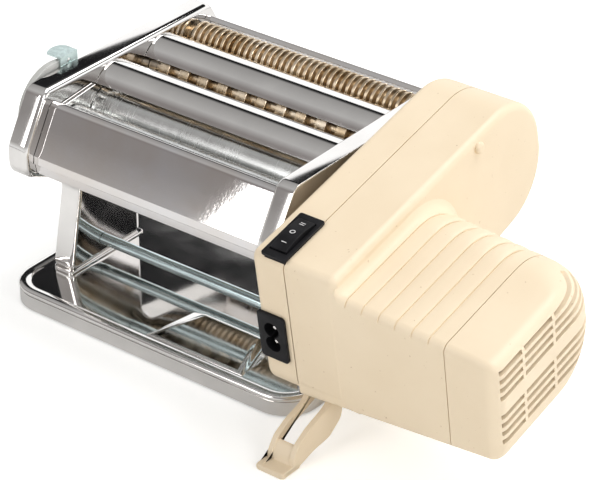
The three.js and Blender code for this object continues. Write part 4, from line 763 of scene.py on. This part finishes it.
CAP_FACE = 138.5
CAP_ROUNDS = (7.5, 25.0, 6.5)  # at the front, at the rear, at the top and the bottom
ROOT_RADIUS = 4.6
FIRST_GROOVE = 54.4
GROOVE_PITCH = 9.36
GROOVES = tuple(FIRST_GROOVE + GROOVE_PITCH * i for i in range(6))
GROOVE_HALF = 0.45
GROOVE_DEPTH = 0.6
GROOVE_LIFT = (0.12, 0.47)  # the steepness at which a groove starts and at which it is full
SCALLOP = 1.1
SCALLOP_RUN = (42, 72)  # where it starts, from the front, and where it is full
SCALLOP_REACH = 3.2
SOFT_EDGE = 0.08
FIRST_VENT = -18.9
VENT_PITCH = 4.9
NAME_BAND = 6.3  # the bare strip between the upper and the lower four rows
VENT_ROWS = tuple(FIRST_VENT - VENT_PITCH * i - (NAME_BAND if i > 3 else 0) for i in range(8))
VENT_HALF = 1.35
VENT_LEAN = 0.076
VENT_BAYS = ((-3.4, 14.2), (16.2, 39.3), (41.3, 92.0))
VENT_WRAP = 125.0
VENT_REACH = 9
PLUG_PLACE = (113.5, -6.2)
PLUG_RADIUS = 3.2
PLUG_RISE = 2.2
SWITCH_SPOT = (10.4, 13.9)
SWITCH_HOLE = (-4.7, 25.5, -13, 4, SWITCH_SPOT[1] - 6.4, SWITCH_SPOT[1] + 6.4)
INLET_HOLE = (-16, 2.2, -61.2, -36.2, 1.6, 15.6)
OUTPUT_HOLE = 5.4
from_arm = from_head @ Matrix.Translation(ARM_PLACE) @ Matrix.Rotation(TILT, 4, "X")
into_arm = from_arm @ across


def cream_plastic():
    plastic = Finish("cream_moulding", Specular_IOR_Level=0.42)
    tone = plastic.noise(22, 4)
    specks = plastic.noise(420, 2)
    dirt = plastic.ramp(specks, (0.22, (0.48, 0.35, 0.2)), (0.28, (1, 1, 1)))
    body = plastic.ramp(tone, (0.35, (0.8, 0.665, 0.48)), (0.7, (0.84, 0.71, 0.525)))
    plastic.set(Base_Color=plastic.over(body, dirt, 0.6, "MULTIPLY"),
                Roughness=plastic.span(tone, 0.3, 0.7, 0.4, 0.52))
    plastic.bump(plastic.noise(2600, 2), 0.00004, 0.3)
    return plastic.material


CREAM = cream_plastic()


def inset_corners(corners, wall):
    """The same outline drawn in by a wall."""
    lines = []
    for i, (x, y, *_) in enumerate(corners):
        after = corners[(i + 1) % len(corners)]
        along = Vector((after[0] - x, after[1] - y)).normalized()
        lines.append((Vector((x - along.y * wall, y + along.x * wall)), along))
    result = []
    for i, corner in enumerate(corners):
        (a, p), (b, q) = lines[i - 1], lines[i]
        reach = ((b.x - a.x) * q.y - (b.y - a.y) * q.x) / p.cross(q)
        spot = a + p * reach
        result.append((spot.x, spot.y, max(corner[2] - wall, 0.5)))
    return result


def carved(bm, *tools):
    """A closed shape with other closed shapes cut out of it."""
    holders = []
    for shape in (bm, *tools):
        mesh = bpy.data.meshes.new("carving")
        shape.to_mesh(mesh)
        shape.free()
        holder = bpy.data.objects.new("carving", mesh)
        scene.collection.objects.link(holder)
        holders.append(holder)
    for tool in holders[1:]:
        cut = holders[0].modifiers.new("cut", "BOOLEAN")
        cut.operation = "DIFFERENCE"
        cut.solver = "MANIFOLD"
        cut.object = tool
    rest = bmesh.new()
    rest.from_object(holders[0], bpy.context.evaluated_depsgraph_get())
    for holder in holders:
        mesh = holder.data
        bpy.data.objects.remove(holder)
        bpy.data.meshes.remove(mesh)
    return rest


def body_box(x, wall):
    """Front, rear, bottom and top of the motor's body at a distance along it."""
    share = (x - ARM_DEPTH) / (CAP_SEAM - ARM_DEPTH)
    face = CAP_FACE - wall
    front_round, rear_round, top_round = (r - wall for r in CAP_ROUNDS)

    def drawn_in(radius):
        depth = max(x - face + radius, 0)
        return radius - math.sqrt(max(radius ** 2 - depth ** 2, 0))

    root = 0.0
    if wall == 0 and ARM_DEPTH - 3 < x < ARM_DEPTH + ROOT_RADIUS:
        up = max(x - ARM_DEPTH, 0)
        root = ROOT_RADIUS - math.sqrt(ROOT_RADIUS ** 2 - (ROOT_RADIUS - up) ** 2)
    front = BODY_FRONT[1] + wall + drawn_in(front_round)
    rear = BODY_FRONT[0] + (BODY_REAR - BODY_FRONT[0]) * (1 - REAR_TAPER * share) - wall
    top = TAPER_LEVEL + (BODY_TOP - TAPER_LEVEL) * (1 - HEIGHT_TAPER * share) - wall
    bottom = TAPER_LEVEL + (BODY_BOTTOM - TAPER_LEVEL) * (1 - HEIGHT_TAPER * share) + wall
    return (front, rear - drawn_in(rear_round) + root, bottom + drawn_in(top_round),
            top - drawn_in(top_round) + root)


def body_loft(levels, wall=0.0):
    """The body's outline carried from level to level, each time fitted into its box there."""
    bm = bmesh.new()
    rounded_face(bm, inset_corners(BODY_CORNERS, wall) if wall else BODY_CORNERS, 12)
    last = (BODY_FRONT[1] + wall, BODY_REAR - wall, BODY_BOTTOM + wall, BODY_TOP - wall)
    height = 0.0
    top = bm.faces[:]
    for i, level in enumerate(levels):
        new = body_box(level, wall)
        sx = (new[1] - new[0]) / (last[1] - last[0])
        sy = (new[3] - new[2]) / (last[3] - last[2])
        fit = Matrix(((sx, 0, 0, new[0] - last[0] * sx), (0, sy, 0, new[2] - last[2] * sy),
                      (0, 0, 1, level - height), (0, 0, 0, 1)))
        if i == 0:
            bmesh.ops.transform(bm, matrix=fit, verts=bm.verts)
        else:
            passed = top
            top = grown(bm, passed, fit)
            if i > 1:
                bmesh.ops.delete(bm, geom=passed, context="FACES_ONLY")
        last, height = new, level
    bmesh.ops.recalc_face_normals(bm, faces=bm.faces)
    return bm


def groove_top(bm):
    """Sinks thin grooves into the top of the body and hollows the bands between them."""
    bm.normal_update()
    last = GROOVES[-1]
    moves = []
    for vert in bm.verts:
        x = vert.co.z
        lift = vert.normal.y
        if not GROOVES[0] - 5 < x < last + 5 or lift < GROOVE_LIFT[0]:
            continue
        near = min(abs(x - groove) for groove in GROOVES)
        fade = min((lift - GROOVE_LIFT[0]) / (GROOVE_LIFT[1] - GROOVE_LIFT[0]), 1)
        rearward = (vert.co.x - SCALLOP_RUN[0]) / (SCALLOP_RUN[1] - SCALLOP_RUN[0])
        shoulder = min(max(rearward, 0), 1) * (1 if x < last + 0.5 else 0.3)
        sunk = GROOVE_DEPTH if near < GROOVE_HALF * 0.6 else 0
        if x < last + 3:
            sunk += SCALLOP * shoulder * max(1 - near / SCALLOP_REACH, 0) ** 2
            sunk += SOFT_EDGE * max(1 - near / 3, 0)
        moves.append((vert, vert.normal * sunk * fade))
    for vert, move in moves:
        vert.co -= move


def housing_levels():
    """Where the body's outline is repeated: closely at its root and at each groove."""
    levels = [SEAM + SEAM_GAP, ARM_DEPTH - 2.9, ARM_DEPTH - 0.4]
    levels += [ARM_DEPTH + ROOT_RADIUS * (1 - math.cos(math.radians(angle)))
               for angle in range(15, 91, 15)]
    for i, groove in enumerate(GROOVES):
        levels += [groove - GROOVE_HALF, groove - GROOVE_HALF / 2, groove + GROOVE_HALF / 2,
                   groove + GROOVE_HALF]
        after = GROOVES[i + 1] if groove < GROOVES[-1] else CAP_SEAM - SEAM_GAP / 2 + GROOVE_HALF
        levels += [groove + (after - groove) * share
                   for share in (0.14, 0.24, 0.36, 0.5, 0.64, 0.76, 0.86)]
    return sorted({round(v, 4) for v in levels if v < CAP_SEAM - SEAM_GAP}) + [
        CAP_SEAM - SEAM_GAP / 2]


def tube(x0, x1, y, z, radius, segments):
    bm = bmesh.new()
    bmesh.ops.create_cone(bm, cap_ends=True, segments=segments, radius1=radius, radius2=radius,
                          depth=x1 - x0, matrix=Matrix.Translation((y, z, (x0 + x1) / 2)))
    return bm


def brick(x0, x1, y0, y1, z0, z1):
    bm = bmesh.new()
    bmesh.ops.create_cube(bm, size=1, matrix=Matrix.Translation(
        ((x0 + x1) / 2, (y0 + y1) / 2, (z0 + z1) / 2)) @ Matrix.Diagonal(
        (x1 - x0, y1 - y0, z1 - z0, 1)))
    return bm


output_spot = into_arm.inverted() @ ((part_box("drive_gear")[0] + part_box("drive_gear")[1]) / 2)


def inner_shell():
    outer = prism(ARM_CORNERS, 0, SEAM, 16)
    round_rim(outer, 0, ARM_EDGE, 6)
    round_rim(outer, SEAM, 0.25, 2)
    inner = prism(inset_corners(ARM_CORNERS, ARM_WALL), ARM_WALL, SEAM + 2, 12)
    hole = tube(-3, 6, output_spot.x, output_spot.y, OUTPUT_HOLE, 48)
    return carved(outer, inner, hole, brick(*SWITCH_HOLE), brick(*INLET_HOLE))


def motor_housing():
    start = SEAM + SEAM_GAP
    arm = prism(ARM_CORNERS, start, ARM_DEPTH, 16)
    round_rim(arm, ARM_DEPTH, ARM_EDGE, 6)
    round_rim(arm, start, 0.25, 2)
    body = body_loft(housing_levels())
    groove_top(body)
    hollowed = []
    for shape in (arm, body):
        arm_room = prism(inset_corners(ARM_CORNERS, ARM_WALL), start - 2, ARM_DEPTH - ARM_WALL, 12)
        body_room = body_loft((start - 1, ARM_DEPTH, CAP_SEAM + 2), ARM_WALL)
        hollowed.append(carved(shape, arm_room, body_room, brick(*SWITCH_HOLE)))
    return joined(*hollowed)


def end_cap():
    """A cap with a rounded rear edge. Its slots run out of the flat face into that edge."""
    cap_round = CAP_ROUNDS[1]
    start = CAP_FACE - cap_round
    first = math.degrees(math.asin((CAP_SEAM + SEAM_GAP / 2 - start) / cap_round))
    turns = [first + (90 - first) * i / 22 for i in range(23)]
    outer = body_loft([start + cap_round * math.sin(math.radians(angle)) for angle in turns])
    inner_levels = [start + (cap_round - ARM_WALL) * math.sin(math.radians(angle))
                    for angle in range(30, 91, 5)]
    inner = body_loft([CAP_SEAM - 1] + inner_levels, ARM_WALL)
    slots = []
    for row in VENT_ROWS:
        drift = (row - VENT_ROWS[0]) * VENT_LEAN
        for low, high in VENT_BAYS:
            wraps = high > BODY_REAR
            slots.append(brick(low + drift, high if wraps else high + drift, row - VENT_HALF,
                               row + VENT_HALF, VENT_WRAP if wraps else CAP_FACE - VENT_REACH,
                               CAP_FACE + 2))
    return carved(outer, inner, joined(*slots))


for node, shape in (("arm_inner_shell", inner_shell()), ("motor_housing", motor_housing()),
                    ("end_cap", end_cap())):
    make(f"{node}_skin", shape, into_arm, CREAM, "motor_unit", "cream_plastic", node)
plug = tube(ARM_DEPTH - 1.5, ARM_DEPTH + PLUG_RISE, *PLUG_PLACE, PLUG_RADIUS, 40)
round_rim(plug, ARM_DEPTH + PLUG_RISE, 1.8, 6)
make("arm_screw_plug", plug, into_arm, CREAM, "motor_unit", "cream_plastic")

# ROCKER SWITCH
# A black bezel snapped into the top of the arm across the seam, with a three-position
# rocker that is printed with white marks: off in the middle, and two speeds.
ROCKER_SIZE = (23.0, 9.4)
ROCKER_CROWN = 4.8
ROCKER_DEPTH = 4.0
ROCKER_FALL = math.radians(10)
PRINTS = {"speed_two_mark_rear": 8.65, "speed_two_mark_front": 7.35, "off_mark": 0.4,
          "speed_one_mark": -6.6}  # each with its place along the rocker
PRINT_SIZE = 2.8
PRINT_LINE = 0.36
PRINT_RISE = 0.12
BLACK_PLASTIC = surface(
    "switch_plastic", tone=(140, 3), gloss=(0.3, 0.7, 0.34, 0.46), grain=(2400, 2),
    colours=((0.35, (0.008, 0.008, 0.009)), (0.7, (0.016, 0.016, 0.018))),
    relief=(0.00003, 0.25), Specular_IOR_Level=0.14)
WHITE_PRINT = surface(
    "white_print", tone=(900, 2), gloss=(0.3, 0.7, 0.4, 0.6),
    colours=((0.3, (0.7, 0.7, 0.7)), (0.6, (0.88, 0.88, 0.88))))
dressed("switch_body", BLACK_PLASTIC, "black_plastic", 0.3)
from_switch = from_arm @ Matrix.Translation((SWITCH_SPOT[1], SWITCH_SPOT[0], 0))


def rocker():
    half = ROCKER_SIZE[0] / 2
    end = ROCKER_CROWN - half * math.tan(ROCKER_FALL)
    flank = half - (ROCKER_CROWN + ROCKER_DEPTH) * math.tan(ROCKER_FALL) / 2
    bm = prism([(-flank, -ROCKER_DEPTH), (flank, -ROCKER_DEPTH), (half, end),
                (0, ROCKER_CROWN, ROCKER_SIZE[0]), (-half, end)],
               -ROCKER_SIZE[1] / 2, ROCKER_SIZE[1] / 2, 12)
    make("switch_rocker_skin", bm, from_switch @ across, BLACK_PLASTIC, "rocker",
         "black_plastic", "switch_rocker", edge=0.35)


def print_mark(name, spot):
    """A ring for off or a bar for a speed, laid on the rocker's slope."""
    bm = bmesh.new()
    ring = name == "off_mark"
    if ring:
        rounded_face(bm, block_corners(PRINT_SIZE, PRINT_SIZE, PRINT_SIZE / 2 - 0.01))
        line = bmesh.ops.inset_region(bm, faces=bm.faces[:], thickness=PRINT_LINE,
                                      use_boundary=True)
        inner = [f for f in bm.faces if f not in line["faces"]]
        bmesh.ops.delete(bm, geom=inner, context="FACES_ONLY")
    else:
        rounded_face(bm, block_corners(PRINT_LINE, PRINT_SIZE, 0.1), 2)
    grown(bm, bm.faces[:], Matrix.Translation((0, 0, PRINT_RISE)))
    bmesh.ops.recalc_face_normals(bm, faces=bm.faces)
    lean = -math.copysign(ROCKER_FALL, spot)
    height = ROCKER_CROWN - abs(spot) * math.tan(ROCKER_FALL) - (0.25 if ring else 0.06)
    place = (Matrix.Translation((0, spot, height)) @ Matrix.Rotation(lean, 4, "X")
             @ Matrix.Rotation(math.pi / 2, 4, "Z"))
    make(name, bm, from_switch @ place, WHITE_PRINT, "rocker", "black_plastic")


rocker()
for name, spot in PRINTS.items():
    print_mark(name, spot)

# MAINS INLET
# A black two-pole inlet let into the front of the arm. Two nickel-plated pins stand in its
# figure-eight well.
INLET_SIZE = (16.6, 28.0)
INLET_FACES = (-1.8, -0.3)
INLET_BOX_INSET = 1.6
INLET_BOX_LEVELS = (-0.9, 11.5)
INLET_LEAN = math.radians(-3.746)
INLET_PLACE = (8.6, -8.99, -48.7)
WELL_RADIUS = 4.4
WELL_DEPTH = 7.5
PIN_SPACING = 8.6
PIN_RADIUS = 1.2
PIN_LEVELS = (0.5, 7.5)
into_inlet = (from_arm @ Matrix.Translation(INLET_PLACE) @ Matrix.Rotation(INLET_LEAN, 4, "X")
              @ Matrix.Rotation(-math.pi / 2, 4, "X"))


def with_wells(bm):
    return carved(bm, *[tube(-2.5, WELL_DEPTH, 0, side * PIN_SPACING / 2, WELL_RADIUS, 40)
                        for side in (-1, 1)])


def inlet():
    plate = prism(block_corners(*INLET_SIZE, 2.0), *INLET_FACES, 6)
    round_rim(plate, INLET_FACES[0], 0.5, 3)
    make("inlet_body_skin", with_wells(plate), into_inlet, BLACK_PLASTIC, "motor_unit",
         "black_plastic", "inlet_body", edge=0.1)
    box = prism(block_corners(*[size - INLET_BOX_INSET * 2 for size in INLET_SIZE], 0.6),
                *INLET_BOX_LEVELS, 3)
    make("inlet_well", with_wells(box), into_inlet, BLACK_PLASTIC, "motor_unit", "black_plastic")
    base, tip = PIN_LEVELS
    for side, spot in ((-1, "upper"), (1, "lower")):
        pin = turned([(base, 0), (base, PIN_RADIUS, 0.5), (tip, PIN_RADIUS), (tip, 0)], 24)
        place = into_inlet @ Matrix.Translation((0, side * PIN_SPACING / 2, 0)) @ upright
        make(f"inlet_pin_{spot}_skin", pin, place, CHROME, "motor_unit", "chrome",
             f"inlet_pin_{spot}")


inlet()

# GEAR TRAIN AND MOTOR
# Under the housing: a universal motor with its pinion and fan, two white nylon idlers and
# the output gear, whose shaft plugs into a roller. All are plain pieces, only finished here.
NYLON = surface(
    "greased_nylon", tone=(150, 4), gloss=(0.3, 0.7, 0.22, 0.5), grain=(1800, 2),
    colours=((0.3, (0.55, 0.5, 0.4)), (0.6, (0.78, 0.77, 0.72))), relief=(0.00003, 0.3),
    Specular_IOR_Level=0.5)
refinished(NYLON, "idler_gear_rear", "idler_gear_front", "drive_gear")
refinished(GROUND_STEEL, "motor_shaft")
refinished(zinc("motor_can_plating", (0.5, 0.5, 0.47), 0.34), "motor_can")

# SUPPORT FOOT
# A cream moulding that folds on a pin under the housing and props it on the table: a
# narrow curved bar on the left, a broad plate on the right, a web and a pad below.
FOOT_PIVOT = (-9.0, -101.0)
BOSS_RADIUS = 4.5
FOOT_BAR = ((-54.6, -122.9, 0.6), (-46.2, -122.9), (-45.3, -119.5, 2), (-40.8, -113.0, 8),
            (-32.0, -108.6, 12), (-20.0, -105.4, 12), (-10.0, -96.6, 4), (-5.0, -101.0, 4),
            (-9.0, -106.0, 3), (-19.0, -109.4, 12), (-30.5, -113.4, 12), (-37.0, -118.6, 5),
            (-39.6, -125.5, 0.5), (-54.6, -125.5, 0.5))
FOOT_PLATE = ((-54.6, -122.9, 0.6), (-46.2, -122.9), (-45.5, -119.0, 2), (-41.6, -113.0, 6),
              (-33.5, -108.4, 12), (-20.0, -103.8, 12), (-10.0, -96.6, 4), (-4.8, -101.0, 4),
              (-7.5, -114.5, 6), (-16.9, -121.2, 6), (-29.6, -122.4, 8), (-41.0, -125.5, 2),
              (-54.6, -125.5, 0.5))
FOOT_PAD = ((104.6, -54.5, 2), (121.4, -54.5, 2), (121.4, -39.8, 1.5), (104.6, -39.8, 1.5))
FOOT_WEB = ((-46.5, -123.4), (-45.0, -120.0, 3), (-41.8, -114.0, 6), (-40.2, -114.6, 1),
            (-43.0, -120.0, 4), (-44.4, -123.4))
BAR_SPAN = (105, 108.2)
PLATE_SPAN = (118.2, 121.4)
WEB_SPAN = (107.5, 119)
BOSS_SPAN = (118.8, 136)
PAD_LEVELS = (-126, -123.1)


def foot_side(outline, low, high):
    side = prism(outline, low, high, 5)
    round_rim(side, low, 0.5, 3)
    round_rim(side, high, 0.5, 3)
    return side


def support_foot():
    pad = prism(FOOT_PAD, *PAD_LEVELS, 5)
    round_rim(pad, PAD_LEVELS[1], 0.5, 3)
    bmesh.ops.transform(pad, matrix=across.inverted(), verts=pad.verts)
    boss = tube(*BOSS_SPAN, *FOOT_PIVOT, BOSS_RADIUS, 32)
    round_rim(boss, BOSS_SPAN[1], 0.5, 3)
    foot = joined(foot_side(FOOT_BAR, *BAR_SPAN), foot_side(FOOT_PLATE, *PLATE_SPAN), pad,
                  prism(FOOT_WEB, *WEB_SPAN, 4), boss)
    make("support_foot_skin", foot, from_head @ across, CREAM, "foot", "cream_plastic",
         "support_foot", smooth=35)


support_foot()
refinished(ZINC_PLATE, "support_foot_pin")
